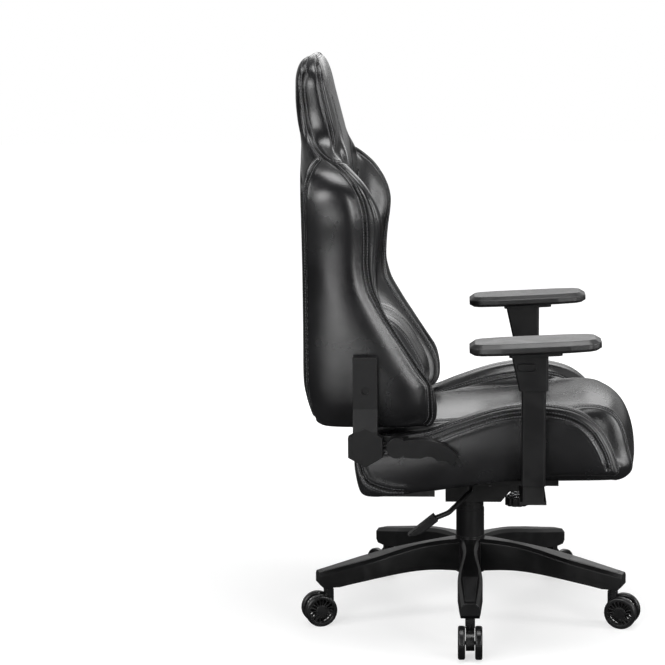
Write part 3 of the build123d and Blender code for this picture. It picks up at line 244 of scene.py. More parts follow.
def sewingGroup():
    # seam valley, as a dip in height and as a mask for painted shade, and two rows of thread, from the distances kept
    # on the mesh
    group, start, end = newGroup(
        "sewing", {"Row": 0.0045, "Stitch": 0.0052, "Thread": 0.0007}, ("Height", "ThreadMask", "ValleyShade")
    )
    values = {}
    for label in ("seamGap", "seamSide", "seamRun"):
        attribute = group.nodes.new("ShaderNodeAttribute")
        attribute.attribute_name = label
        values[label] = attribute.outputs["Fac"]
    near = mathNode(group, "LESS_THAN", values["seamGap"], sewnLook["reach"])
    side = mathNode(group, "ABSOLUTE", values["seamSide"])
    valley = rangeNode(group, side, *sewnLook["valley"], 1.0, 0.0)
    valley = mathNode(group, "MULTIPLY", valley, near)
    offRow = mathNode(group, "ABSOLUTE", mathNode(group, "SUBTRACT", side, start.outputs["Row"]))
    across = mathNode(group, "DIVIDE", offRow, start.outputs["Thread"])
    cycle = mathNode(group, "FRACT", mathNode(group, "DIVIDE", values["seamRun"], start.outputs["Stitch"]))
    along = mathNode(group, "ABSOLUTE", mathNode(group, "SUBTRACT", cycle, 0.5))
    dash = rangeNode(group, along, *sewnLook["dash"], 1.0, 0.0)
    row = rangeNode(group, across, *sewnLook["row"], 1.0, 0.0)
    thread = mathNode(group, "MULTIPLY", mathNode(group, "MULTIPLY", dash, row), near)
    trough = rangeNode(group, across, *sewnLook["trough"], 1.0, 0.0)
    trough = mathNode(group, "MULTIPLY", trough, near)
    height = mathNode(group, "MULTIPLY", thread, sewnLook["threadHeight"])
    for mask, depth in ((trough, sewnLook["troughDepth"]), (valley, sewnLook["valleyDepth"])):
        height = mathNode(group, "SUBTRACT", height, mathNode(group, "MULTIPLY", mask, depth))
    group.links.new(height, end.inputs["Height"])
    group.links.new(thread, end.inputs["ThreadMask"])
    # the valley mask also goes out on its own, to paint shade into the seam
    group.links.new(valley, end.inputs["ValleyShade"])
    return group


def edgeWearAndHighlightGroup():
    # where a rounded normal leaves the flat one there is an edge, made paler in patches: partly rubbed wear, partly a
    # painted edge highlight
    group, start, end = newGroup("edgeWearAndHighlight", {"Radius": 0.0015, "Amount": 0.5}, ("Mask", "Normal"))
    rounded = group.nodes.new("ShaderNodeBevel")
    rounded.samples = 6
    group.links.new(start.outputs["Radius"], rounded.inputs["Radius"])
    flat = group.nodes.new("ShaderNodeNewGeometry")
    agree = vectorNode(group, "DOT_PRODUCT", rounded.outputs["Normal"], flat.outputs["Normal"])["Value"]
    edge = rangeNode(group, agree, 0.80, 0.985, 1.0, 0.0)
    patch = textureNode(group, "Noise", ownPlace(group), Scale=70, Detail=4)
    wornAndHighlit = rangeNode(group, patch.outputs["Fac"], 0.38, 0.68)
    mask = mathNode(group, "MULTIPLY", mathNode(group, "MULTIPLY", edge, wornAndHighlit), start.outputs["Amount"])
    group.links.new(mask, end.inputs["Mask"])
    group.links.new(rounded.outputs["Normal"], end.inputs["Normal"])
    return group


def mouldGrainGroup():
    # spark-eroded mould texture: fine speckle, with slight flow marks
    group, start, end = newGroup("mouldGrain", {"Scale": 1400.0}, ("Height", "Patch"))
    place = ownPlace(group)
    speckle = textureNode(group, "Noise", place, Scale=start.outputs["Scale"], Detail=2, Roughness=0.7)
    flow = textureNode(group, "Noise", place, Scale=14, Detail=3, Distortion=1.2)
    group.links.new(speckle.outputs["Fac"], end.inputs["Height"])
    group.links.new(flow.outputs["Fac"], end.inputs["Patch"])
    return group


leatherGrain = leatherGrainGroup()
sewing = sewingGroup()
edgeWearAndHighlight = edgeWearAndHighlightGroup()
mouldGrain = mouldGrainGroup()
print("shader groups made")

# materials


def addGroup(tree, group, **values):
    node = tree.nodes.new("ShaderNodeGroup")
    node.node_tree = group
    for label, value in values.items():
        node.inputs[label].default_value = value
    return node


def mixColours(tree, factor, first, second):
    node = tree.nodes.new("ShaderNodeMix")
    node.data_type = "RGBA"
    for socket, value in ((node.inputs[6], first), (node.inputs[7], second)):
        if isinstance(value, tuple):
            socket.default_value = (*value, 1)
        else:
            tree.links.new(value, socket)
    tree.links.new(factor, node.inputs[0])
    return node.outputs[2]


def bump(tree, height, distance, strength=1.0, normal=None):
    node = tree.nodes.new("ShaderNodeBump")
    node.inputs["Distance"].default_value = distance
    node.inputs["Strength"].default_value = strength
    tree.links.new(height, node.inputs["Height"])
    if normal is not None:
        tree.links.new(normal, node.inputs["Normal"])
    return node.outputs["Normal"]


def leather(name, look):
    material, tree, shader = newMaterial(name)
    grain = addGroup(tree, leatherGrain, Scale=look["grainScale"])
    seams = addGroup(tree, sewing, Row=look["rowOffset"], Stitch=look["stitch"], Thread=look["thread"])
    patchy = mixColours(tree, rangeNode(tree, grain.outputs["Patch"], 0.35, 0.65), look["dark"], look["light"])
    # painted shade: the seam valleys take a darker colour where they dip
    shaded = mixColours(tree, seams.outputs["ValleyShade"], patchy, look["valley"])
    # the thread's own grey, made paler as a painted highlight along the stitching
    coloured = mixColours(tree, seams.outputs["ThreadMask"], shaded, look["threadToneAndSheen"])
    tree.links.new(coloured, shader.inputs["Base Color"])
    rough = rangeNode(tree, grain.outputs["Patch"], 0.3, 0.7, look["roughLow"], look["roughHigh"])
    rough = mathNode(tree, "MULTIPLY_ADD", seams.outputs["ThreadMask"], 0.25, rough)
    tree.links.new(rough, shader.inputs["Roughness"])
    sewn = bump(tree, seams.outputs["Height"], 0.0011)
    skin = bump(tree, grain.outputs["Height"], look["grainHeight"], look["grainStrength"], sewn)
    tree.links.new(skin, shader.inputs["Normal"])
    shader.inputs["Specular IOR Level"].default_value = look["gloss"]
    shader.inputs["Coat Weight"].default_value = look["coat"]
    shader.inputs["Coat Roughness"].default_value = look["coatRough"]
    return material


def moulded(name, look):
    material, tree, shader = newMaterial(name)
    grain = addGroup(tree, mouldGrain, Scale=look.get("grainScale", 1400.0))
    edge = addGroup(tree, edgeWearAndHighlight, Radius=look.get("edge", 0.0012), Amount=look.get("wearAndHighlight", 0.4))
    base = mixColours(tree, rangeNode(tree, grain.outputs["Patch"], 0.35, 0.65), look["dark"], look["light"])
    # painted edge highlight together with wear: the edges take the paler colour
    wornAndHighlit = mixColours(tree, edge.outputs["Mask"], base, look["wornAndHighlit"])
    tree.links.new(wornAndHighlit, shader.inputs["Base Color"])
    rough = rangeNode(tree, grain.outputs["Patch"], 0.3, 0.7, look["roughLow"], look["roughHigh"])
    tree.links.new(rough, shader.inputs["Roughness"])
    surface = bump(tree, grain.outputs["Height"], look.get("grainHeight", 0.00012), 0.6, edge.outputs["Normal"])
    tree.links.new(surface, shader.inputs["Normal"])
    shader.inputs["Metallic"].default_value = look.get("metal", 0.0)
    shader.inputs["Specular IOR Level"].default_value = look.get("gloss", 0.5)
    return material


def woven(name, look):
    # webbing: two sets of threads crossing on the piece's own coordinates
    material, tree, shader = newMaterial(name)
    place = ownPlace(tree)
    heights = []
    for direction in ("X", "Y"):
        wave = textureNode(tree, "Wave", place, Scale=look["threads"], Distortion=0.6)
        wave.bands_direction = direction
        heights.append(wave.outputs["Fac"])
    weave = mathNode(tree, "MULTIPLY", heights[0], heights[1])
    tree.links.new(mixColours(tree, weave, look["dark"], look["light"]), shader.inputs["Base Color"])
    tree.links.new(bump(tree, weave, 0.0006), shader.inputs["Normal"])
    shader.inputs["Roughness"].default_value = 0.85
    shader.inputs["Sheen Weight"].default_value = 0.25
    return material


# valley is a painted shade colour for the seam valleys
leatherLook = {
    "grainScale": 820.0, "grainHeight": 0.00022, "grainStrength": 0.5, "rowOffset": 0.0042, "stitch": 0.0056,
    "thread": 0.00085, "dark": (0.0052, 0.0052, 0.0056), "light": (0.0085, 0.0085, 0.0091),
    "valley": (0.0012, 0.0012, 0.0012), "threadToneAndSheen": (0.07, 0.07, 0.073), "roughLow": 0.20, "roughHigh": 0.29,
    "gloss": 0.46, "coat": 0.1, "coatRough": 0.2,
}
materials = {
    "leather": leather("blackLeather", leatherLook),
    "nylon": moulded("baseNylon", {
        "dark": (0.0035, 0.0035, 0.0037), "light": (0.0055, 0.0055, 0.0057), "wornAndHighlit": (0.05, 0.05, 0.052),
        "roughLow": 0.28, "roughHigh": 0.38, "edge": 0.0022, "wearAndHighlight": 0.4, "grainHeight": 0.00014, "gloss": 0.30,
    }),
    "insert": moulded("insertPlastic", {
        "dark": (0.012, 0.012, 0.0125), "light": (0.018, 0.018, 0.0185), "wornAndHighlit": (0.06, 0.06, 0.06),
        "roughLow": 0.30, "roughHigh": 0.42, "edge": 0.0012, "wearAndHighlight": 0.35,
    }),
    "wheel": moulded("wheelPlastic", {
        "dark": (0.004, 0.004, 0.0043), "light": (0.007, 0.007, 0.0073), "wornAndHighlit": (0.07, 0.07, 0.07),
        "roughLow": 0.22, "roughHigh": 0.34, "edge": 0.0015, "wearAndHighlight": 0.45, "gloss": 0.4,
    }),
    "cover": moulded("coverPlastic", {
        "dark": (0.0035, 0.0035, 0.0038), "light": (0.0055, 0.0055, 0.0058), "wornAndHighlit": (0.045, 0.045, 0.045),
        "roughLow": 0.36, "roughHigh": 0.48, "edge": 0.0013, "wearAndHighlight": 0.35, "grainHeight": 0.0002, "gloss": 0.22,
    }),
    "pad": moulded("armrestFoam", {
        "dark": (0.0045, 0.0045, 0.0048), "light": (0.007, 0.007, 0.0073), "wornAndHighlit": (0.02, 0.02, 0.02),
        "roughLow": 0.32, "roughHigh": 0.42, "edge": 0.0035, "wearAndHighlight": 0.2, "grainScale": 800.0, "grainHeight": 0.0002,
        "gloss": 0.55,
    }),
    "paint": moulded("powderCoat", {
        "dark": (0.005, 0.005, 0.005), "light": (0.0075, 0.0075, 0.0075), "wornAndHighlit": (0.08, 0.078, 0.075),
        "roughLow": 0.34, "roughHigh": 0.44, "edge": 0.0009, "wearAndHighlight": 0.35, "grainScale": 500.0, "gloss": 0.26,
    }),
    "steel": moulded("zincSteel", {
        "dark": (0.42, 0.42, 0.43), "light": (0.55, 0.55, 0.56), "wornAndHighlit": (0.7, 0.7, 0.7),
        "roughLow": 0.24, "roughHigh": 0.36, "edge": 0.0005, "wearAndHighlight": 0.4, "metal": 1.0, "grainHeight": 0.00006,
    }),
    "chrome": moulded("chromeTube", {
        "dark": (0.66, 0.66, 0.67), "light": (0.72, 0.72, 0.73), "wornAndHighlit": (0.8, 0.8, 0.8),
        "roughLow": 0.07, "roughHigh": 0.12, "edge": 0.0005, "wearAndHighlight": 0.2, "metal": 1.0, "grainHeight": 0.00001,
    }),
    "webbing": woven("strapWebbing", {"threads": 260.0, "dark": (0.006, 0.006, 0.006), "light": (0.03, 0.03, 0.031)}),
}
finishOf = {
    "black_nylon": "nylon", "insert_plastic": "insert", "caster_plastic": "wheel", "black_metal": "paint",
    "bright_steel": "steel", "chrome_steel": "chrome", "black_leather": "leather", "webbing": "webbing",
    "armrest_foam": "pad", "cover_plastic": "cover",
}
slotOfNode = {entry["node"]: entry["material_slot"] for entry in frame["record"]["subparts"]}
for node, piece in frame["nodes"].items():
    finish = materials[finishOf[slotOfNode[node]]]
    for slot in piece.material_slots:
        slot.material = finish
    if not piece.material_slots:
        piece.data.materials.append(finish)
print("materials on", len(frame["nodes"]), "nodes")

# tools for the padded pieces


def clearSelection():
    if bpy.context.object and bpy.context.object.mode != "OBJECT":
        bpy.ops.object.mode_set(mode="OBJECT")
    bpy.ops.object.select_all(action="DESELECT")


def makeActive(piece):
    clearSelection()
    piece.select_set(True)
    bpy.context.view_layer.objects.active = piece


def through(knots, at):
    # a smooth value through (place, value) knots, which never swings past them
    places, values = np.array(knots, dtype=float).T
    step = np.diff(places)
    slope = np.diff(values) / step
    tangent = np.concatenate(([slope[0]], np.zeros(len(slope) - 1), [slope[-1]]))
    turning = slope[1:] * slope[:-1] > 0
    total = np.where(turning, slope[1:] + slope[:-1], 1)
    tangent[1:-1] = np.where(turning, 2 * slope[1:] * slope[:-1] / total, 0)
    at = np.clip(np.asarray(at, dtype=float), places[0], places[-1])
    i = np.clip(np.searchsorted(places, at, side="right") - 1, 0, len(step) - 1)
    t = (at - places[i]) / step[i]
    return (
        (2 * t**3 - 3 * t**2 + 1) * values[i]
        + (t**3 - 2 * t**2 + t) * step[i] * tangent[i]
        + (3 * t**2 - 2 * t**3) * values[i + 1]
        + (t**3 - t**2) * step[i] * tangent[i + 1]
    )


def fade(value, low, high):
    t = np.clip((value - low) / (high - low), 0, 1)
    return t * t * (3 - 2 * t)


def between(low, high, first, second, t):
    return (high - t) / (high - low) * first + (t - low) / (high - low) * second


def splineThrough(points, perSpan=8):
    # centripetal curve through points, an array of (n, dimensions)
    points = np.asarray(points, dtype=float)
    padded = np.vstack([2 * points[0] - points[1], points, 2 * points[-1] - points[-2]])
    out = []
    for i in range(len(points) - 1):
        p = padded[i:i + 4]
        gaps = np.maximum(np.linalg.norm(np.diff(p, axis=0), axis=1), 1e-7) ** 0.5
        k = np.concatenate(([0], np.cumsum(gaps)))
        for t in np.linspace(k[1], k[2], perSpan, endpoint=False):
            a = [between(k[j], k[j + 1], p[j], p[j + 1], t) for j in range(3)]
            b = [between(k[j], k[j + 2], a[j], a[j + 1], t) for j in range(2)]
            out.append(between(k[1], k[2], b[0], b[1], t))
    out.append(points[-1])
    return np.array(out)


def sideways(loop):
    # unit vectors to the right of a closed flat line
    along = np.roll(loop, -1, 0) - np.roll(loop, 1, 0)
    across = np.column_stack([along[:, 1], -along[:, 0]])
    return across / np.maximum(np.linalg.norm(across, axis=1), 1e-9)[:, None]


def evenly(points, count=None, step=None):
    # the same line, with its points at equal distances
    points = np.asarray(points, dtype=float)
    run = np.concatenate(([0], np.cumsum(np.linalg.norm(np.diff(points, axis=0), axis=1))))
    if count is None:
        count = max(2, int(round(run[-1] / step)) + 1)
    wanted = np.linspace(0, run[-1], count)
    return np.column_stack([np.interp(wanted, run, points[:, axis]) for axis in range(points.shape[1])])


def sewRings(name, rings, lowCap=None, highCap=None, capRows=8, capStart=0):
    # skins closed rings of equal length; a cap is ruled across its ring, from capStart on both ways round
    rings = np.asarray(rings)
    rows, columns = rings.shape[:2]
    vertices = [rings.reshape(-1, 3)]
    faces = []
    for row in range(rows - 1):
        for column in range(columns):
            after = (column + 1) % columns
            faces.append((
                row * columns + column, row * columns + after,
                (row + 1) * columns + after, (row + 1) * columns + column,
            ))
    total = rows * columns
    for cap, row in ((lowCap, 0), (highCap, rows - 1)):
        if cap is None:
            continue
        ring = rings[row]
        half = columns // 2
        count = np.arange(half + 1)
        near, far = (capStart + count) % columns, (capStart - count) % columns
        spread = np.linspace(0, 1, capRows + 1)
        sheet = ring[near][None] * (1 - spread[:, None, None]) + ring[far][None] * spread[:, None, None]
        swell = (4 * spread * (1 - spread))[:, None, None] * np.array(cap)[None, None]
        ends = np.sin(np.linspace(0, math.pi, half + 1))[None, :, None] ** 0.5
        sheet = sheet + swell * ends
        vertices.append(sheet.reshape(-1, 3))
        for r in range(capRows):
            for c in range(half):
                corner = total + r * (half + 1) + c
                faces.append((corner, corner + 1, corner + half + 2, corner + half + 1))
        total += sheet.shape[0] * sheet.shape[1]
    mesh = bpy.data.meshes.new(name)
    mesh.from_pydata(np.vstack(vertices).tolist(), [], faces)
    piece = bpy.data.objects.new(name, mesh)
    bpy.context.scene.collection.objects.link(piece)
    makeActive(piece)
    bpy.ops.object.mode_set(mode="EDIT")
    bpy.ops.mesh.select_all(action="SELECT")
    bpy.ops.mesh.remove_doubles(threshold=0.0004)
    bpy.ops.mesh.fill_holes(sides=0)
    bpy.ops.mesh.select_all(action="SELECT")
    bpy.ops.mesh.normals_make_consistent(inside=False)
    bpy.ops.object.mode_set(mode="OBJECT")
    # a closed skin with its normals outwards holds a positive volume
    mesh.calc_loop_triangles()
    corners = readPoints(mesh)[np.array([triangle.vertices for triangle in mesh.loop_triangles])]
    if np.einsum("ij,ij->i", corners[:, 0], np.cross(corners[:, 1], corners[:, 2])).sum() < 0:
        mesh.flip_normals()
    return piece


def readPoints(mesh):
    points = np.empty(len(mesh.vertices) * 3)
    mesh.vertices.foreach_get("co", points)
    return points.reshape(-1, 3)


def writePoints(mesh, points):
    mesh.vertices.foreach_set("co", np.ascontiguousarray(points, dtype=np.float32).ravel())
    mesh.update()


def readNormals(mesh):
    normals = np.empty(len(mesh.vertices) * 3)
    mesh.vertex_normals.foreach_get("vector", normals)
    return normals.reshape(-1, 3)


def layOnSurface(piece, lines, step=0.0025):
    # each seam is a rough line, drawn down on to the skin
    mesh = piece.data
    skin = BVHTree.FromPolygons([v.co.copy() for v in mesh.vertices], [tuple(p.vertices) for p in mesh.polygons])
    laid = []
    for line in lines:
        dense = evenly(splineThrough(line), step=step)
        onSkin, facing = [], []
        for point in dense:
            place, normal, _, _ = skin.find_nearest(Vector(point))
            onSkin.append(place)
            facing.append(normal)
        onSkin = np.array(onSkin)
        for _ in range(4):
            onSkin[1:-1] = (onSkin[:-2] + 2 * onSkin[1:-1] + onSkin[2:]) / 4
        laid.append((onSkin, np.array(facing)))
    return laid


def measureSeams(points, laid):
    # distance from the nearest seam, which side of it, and how far along it
    starts, ends, runs, normals = [], [], [], []
    for line, facing in laid:
        length = np.linalg.norm(np.diff(line, axis=0), axis=1)
        starts.append(line[:-1])
        ends.append(line[1:])
        runs.append(np.concatenate(([0], np.cumsum(length)))[:-1])
        normals.append(facing[:-1])
    starts, ends, runs, normals = (np.concatenate(part) for part in (starts, ends, runs, normals))
    middles = (starts + ends) / 2
    tree = kdtree.KDTree(len(middles))
    for i, middle in enumerate(middles):
        tree.insert(middle, i)
    tree.balance()
    nearest = np.array([tree.find(point)[1] for point in points])
    best = np.full(len(points), 9.0)
    side = np.zeros(len(points))
    run = np.zeros(len(points))
    for shift in (0, -1, 1):
        pick = np.clip(nearest + shift, 0, len(middles) - 1)
        a, b = starts[pick], ends[pick]
        line = b - a
        length2 = np.maximum((line**2).sum(1), 1e-12)
        t = np.clip(((points - a) * line).sum(1) / length2, 0, 1)
        foot = a + t[:, None] * line
        away = points - foot
        distance = np.linalg.norm(away, axis=1)
        better = distance < best
        across = np.cross(line, normals[pick])
        sign = np.where((away * across).sum(1) >= 0, 1.0, -1.0)
        best = np.where(better, distance, best)
        side = np.where(better, sign * distance, side)
        run = np.where(better, runs[pick] + t * np.sqrt(length2), run)
    return best, side, run


def keepOnMesh(mesh, **values):
    for label, numbers in values.items():
        attribute = mesh.attributes.new(label, "FLOAT", "POINT")
        attribute.data.foreach_set("value", np.ascontiguousarray(numbers, dtype=np.float32))


def puffUp(piece, held, how):
    # cloth under pressure, sewn down where held is 1; no point moves further than the cap
    before = readPoints(piece.data)
    group = piece.vertex_groups.new(name="sewn")
    for chosen, weight in ((held >= 0.99, 1.0), ((held > 0.2) & (held < 0.99), 0.5)):
        group.add(np.nonzero(chosen)[0].tolist(), weight, "REPLACE")
    makeActive(piece)
    bpy.ops.object.modifier_add(type="CLOTH")
    cloth = piece.modifiers[-1]
    settings = cloth.settings
    settings.vertex_group_mass = "sewn"
    settings.use_pressure = True
    settings.uniform_pressure_force = how["pressure"]
    settings.effector_weights.gravity = 0
    settings.quality = 4
    settings.tension_stiffness = settings.compression_stiffness = how["tension"]
    settings.shear_stiffness = 5
    settings.bending_stiffness = how["bending"]
    cloth.point_cache.frame_start = 1
    cloth.point_cache.frame_end = how["frames"]
    for step in range(1, how["frames"] + 1):
        bpy.context.scene.frame_set(step)
    solved = piece.evaluated_get(bpy.context.evaluated_depsgraph_get()).to_mesh()
    after = readPoints(solved)
    piece.modifiers.remove(cloth)
    piece.vertex_groups.clear()
    bpy.context.scene.frame_set(1)
    move = after - before
    length = np.linalg.norm(move, axis=1)
    cap = how["cap"]
    limited = cap * np.tanh(length / cap)
    scale = np.where(length > 1e-9, limited / np.maximum(length, 1e-9), 0)
    writePoints(piece.data, before + move * scale[:, None])
    print("  cloth on", piece.name, "moved it by up to", round(float(limited.max()) * 1000, 1), "mm")


def relax(mesh, amount, rounds):
    # evens out a step in the skin without a modifier
    points = readPoints(mesh)
    edges = np.empty(len(mesh.edges) * 2, dtype=np.int64)
    mesh.edges.foreach_get("vertices", edges)
    a, b = edges.reshape(-1, 2).T
    count = np.bincount(np.concatenate((a, b)), minlength=len(points)).astype(float)
    for _ in range(rounds):
        total = np.zeros_like(points)
        for axis in range(3):
            total[:, axis] = np.bincount(a, points[b, axis], len(points))
            total[:, axis] += np.bincount(b, points[a, axis], len(points))
        points = points + amount * (total / count[:, None] - points)
    writePoints(mesh, points)


# the skin rolls up a little on both sides of a seam, measured in widths of the seam
seamRoll = {"away": 2.6, "wide": 1.4}


def finishPadded(piece, laid, look, body, node):
    # closer skin, seams pulled down, and the distances that the thread follows
    makeActive(piece)
    bpy.ops.object.modifier_add(type="SUBSURF")
    piece.modifiers[-1].levels = piece.modifiers[-1].render_levels = 1
    bpy.ops.object.modifier_apply(modifier=piece.modifiers[-1].name)
    mesh = piece.data
    mesh.shade_smooth()
    points, normals = readPoints(mesh), readNormals(mesh)
    gap, side, run = measureSeams(points, laid)
    # how strongly each point is drawn in: less so over the head, where that is asked for
    drawn = 1 - look.get("slackOnHead", 0.0) * fade(points[:, 2], *look.get("slackOver", (0, 1)))
    sink = drawn * look["depth"] * np.exp(-(gap / look["width"]) ** 2)
    fromRoll = (gap - look["width"] * seamRoll["away"]) / (look["width"] * seamRoll["wide"])
    swell = drawn * look["swell"] * np.exp(-fromRoll ** 2)
    writePoints(mesh, points + normals * (swell - sink)[:, None])
    keepOnMesh(mesh, seamGap=gap, seamSide=side, seamRun=run)
    mesh.materials.clear()
    mesh.materials.append(materials["leather"])
    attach(piece, body)
    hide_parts(node)
    print("  ", piece.name, len(mesh.vertices), "vertices")


# backrest: levels from the bottom to the top of the head, all in metres

backrest = {
    "rear": [(0.432, -0.298), (0.450, -0.308), (0.480, -0.318), (0.520, -0.325), (0.900, -0.325), (0.960, -0.328),
             (1.020, -0.338), (1.060, -0.341), (1.095, -0.341), (1.118, -0.337), (1.133, -0.328), (1.145, -0.303)],
    "halfWidth": [(0.432, 0.228), (0.475, 0.242), (0.590, 0.2475), (0.700, 0.249), (0.790, 0.256), (0.855, 0.266),
                  (0.885, 0.266), (0.905, 0.260), (0.925, 0.246), (0.940, 0.226), (0.950, 0.203), (0.958, 0.180),
                  (0.968, 0.158), (0.985, 0.139), (1.010, 0.130), (1.040, 0.127), (1.085, 0.128), (1.108, 0.123),
                  (1.125, 0.108), (1.136, 0.085), (1.142, 0.055), (1.145, 0.0)],
    "outerSeam": [(0.432, -0.090), (0.455, -0.076), (0.510, -0.078), (0.549, -0.102), (0.591, -0.128),
                  (0.632, -0.154), (0.675, -0.178), (0.713, -0.194), (0.757, -0.199), (0.799, -0.198),
                  (0.837, -0.199), (0.875, -0.206), (0.902, -0.219), (0.925, -0.239), (0.945, -0.266),
                  (0.953, -0.283), (0.973, -0.301), (1.003, -0.312), (1.038, -0.319), (1.074, -0.323),
                  (1.109, -0.321), (1.130, -0.316), (1.145, -0.303)],
    "ridge": [(0.432, -0.082), (0.455, -0.072), (0.473, -0.071), (0.496, -0.076), (0.536, -0.097), (0.582, -0.128),
              (0.634, -0.161), (0.673, -0.180), (0.700, -0.182), (0.740, -0.179), (0.775, -0.175), (0.805, -0.170),
              (0.828, -0.168), (0.850, -0.172), (0.875, -0.183), (0.892, -0.194), (0.907, -0.205),
              (0.930, -0.229), (0.945, -0.246), (0.960, -0.259), (0.985, -0.266), (1.010, -0.272), (1.044, -0.281),
              (1.074, -0.287), (1.110, -0.293), (1.145, -0.303)],
    "panel": [(0.432, -0.192), (0.560, -0.205), (0.700, -0.230), (0.837, -0.240), (0.940, -0.245), (0.985, -0.249),
              (1.022, -0.257), (1.046, -0.263), (1.070, -0.269), (1.105, -0.277), (1.125, -0.284), (1.138, -0.293),
              (1.145, -0.303)],
    "valleyAt": 0.163, "ridgeInset": 0.036, "shoulderSoft": 0.016, "spans": (46, 9, 18, 27), "rowStep": 0.0064,
    "cloth": {"pressure": 0.5, "frames": 20, "cap": 0.0045, "tension": 14, "bending": 0.6},
    "seam": {"depth": 0.0028, "width": 0.0032, "swell": 0.0006, "slackOnHead": 0.55, "slackOver": (0.93, 0.99)},
    "bottom": 0.432, "top": 1.145, "headFade": (0.935, 0.995), "softFade": (0.97, 1.02), "narrowAt": 0.12,
    "lowerEdge": [(0.432, 0.009), (0.4335, 0.004), (0.4375, 0.001)],
    "seamsFrom": 0.436, "edgeSeamsTo": 1.118, "rearSeamTo": 0.950, "creaseTo": 0.90, "joinAt": 0.944,
    "panelSeamTo": 1.06, "panelSeamAt": 0.104, "panelSeamIn": 0.030, "panelSeamFade": (0.88, 1.0),
    "rearSeam": [(0.436, -0.300), (0.52, -0.316), (0.885, -0.315), (0.932, -0.303), (0.953, -0.286)],
    "overHead": [(-0.112, 1.128), (-0.090, 1.139), (-0.055, 1.144), (0.0, 1.146), (0.055, 1.144), (0.090, 1.139),
                 (0.112, 1.128)],
    "overHeadOuter": -0.322, "overHeadRidge": -0.293, "clothReach": 0.0045, "clothAbove": 0.437, "fill": 0.8,
}


def backrestSection(z):
    # half of one level, from the middle of the rear round to the middle of the front
    rear, outer, ridge, panel = (float(through(backrest[key], z)) for key in ("rear", "outerSeam", "ridge", "panel"))
    # the shoulders turn in softly, so their width is taken over a short height
    soft = backrest["shoulderSoft"] * (1 - float(fade(z, *backrest["softFade"])))
    half = float(np.mean(through(backrest["halfWidth"], z + soft * np.linspace(-1, 1, 7))))
    head = float(fade(z, *backrest["headFade"]))
    deep = max(outer - rear, 0.002)
    h = max(half, 1e-4)
    # offsets from the side shrink where the head is narrower than this
    near = min(1.0, h / backrest["narrowAt"])

    def mixed(below, above):
        return below + (above - below) * head

    rearLine = [
        (rear, 0.0), (rear, 0.33 * h), (rear + 0.0005, 0.62 * h),
        (rear + mixed(0.004, 0.002) * near, h - mixed(0.034, 0.030) * near),
        (rear + min(mixed(0.014, 0.005), 0.2 * deep), h - mixed(0.011, 0.014) * near),
        (rear + min(mixed(0.036, 0.009), 0.36 * deep), h - mixed(0.002, 0.008) * near),
        (rear + 0.58 * deep, h - mixed(-0.0015, 0.0045) * near),
        (rear + 0.84 * deep, h - mixed(0.0025, 0.004) * near),
        (outer, h - mixed(0.0145, 0.0055) * near),
    ]
    ridgeY = h - mixed(backrest["ridgeInset"], 0.005) * near
    bandLine = [
        rearLine[-1],
        (outer + 0.35 * (ridge - outer) + mixed(0.0085, 0.0), mixed(h - 0.0095, h - 0.002 * near)),
        (outer + 0.75 * (ridge - outer) + mixed(0.0085, 0.0), mixed(h - 0.0225, h - 0.0015 * near)),
        (ridge, ridgeY),
    ]
    valleyY = mixed(min(backrest["valleyAt"], h - 0.07), h - 0.045 * near)
    valleyX = mixed(panel + 0.010, panel - 0.004 * near)
    slopeLine = [
        bandLine[-1],
        (mixed(ridge - 0.010, ridge + 0.55 * (panel - ridge)), h - mixed(0.050, 0.012) * near),
        (mixed(ridge + 0.55 * (panel - ridge), panel - 0.010 * near), h - mixed(0.072, 0.021) * near),
        (valleyX, valleyY),
    ]
    panelLine = [
        slopeLine[-1], (panel + mixed(0.004, -0.001 * near), 0.66 * valleyY), (panel, 0.33 * valleyY), (panel, 0.0),
    ]
    whole = rearLine + bandLine[1:] + slopeLine[1:] + panelLine[1:]
    mirrored = [(whole[1][0], -whole[1][1])] + whole + [(whole[-2][0], -whole[-2][1])]
    perSpan = 8
    fine = splineThrough(mirrored, perSpan)[perSpan:-perSpan]
    marks = np.cumsum([0] + [len(line) - 1 for line in (rearLine, bandLine, slopeLine, panelLine)]) * perSpan
    stretches = []
    for part, count in enumerate(backrest["spans"]):
        stretches.append(evenly(fine[marks[part]:marks[part + 1] + 1], count=count + 1)[:-1])
    return np.vstack([*stretches, fine[-1:]])


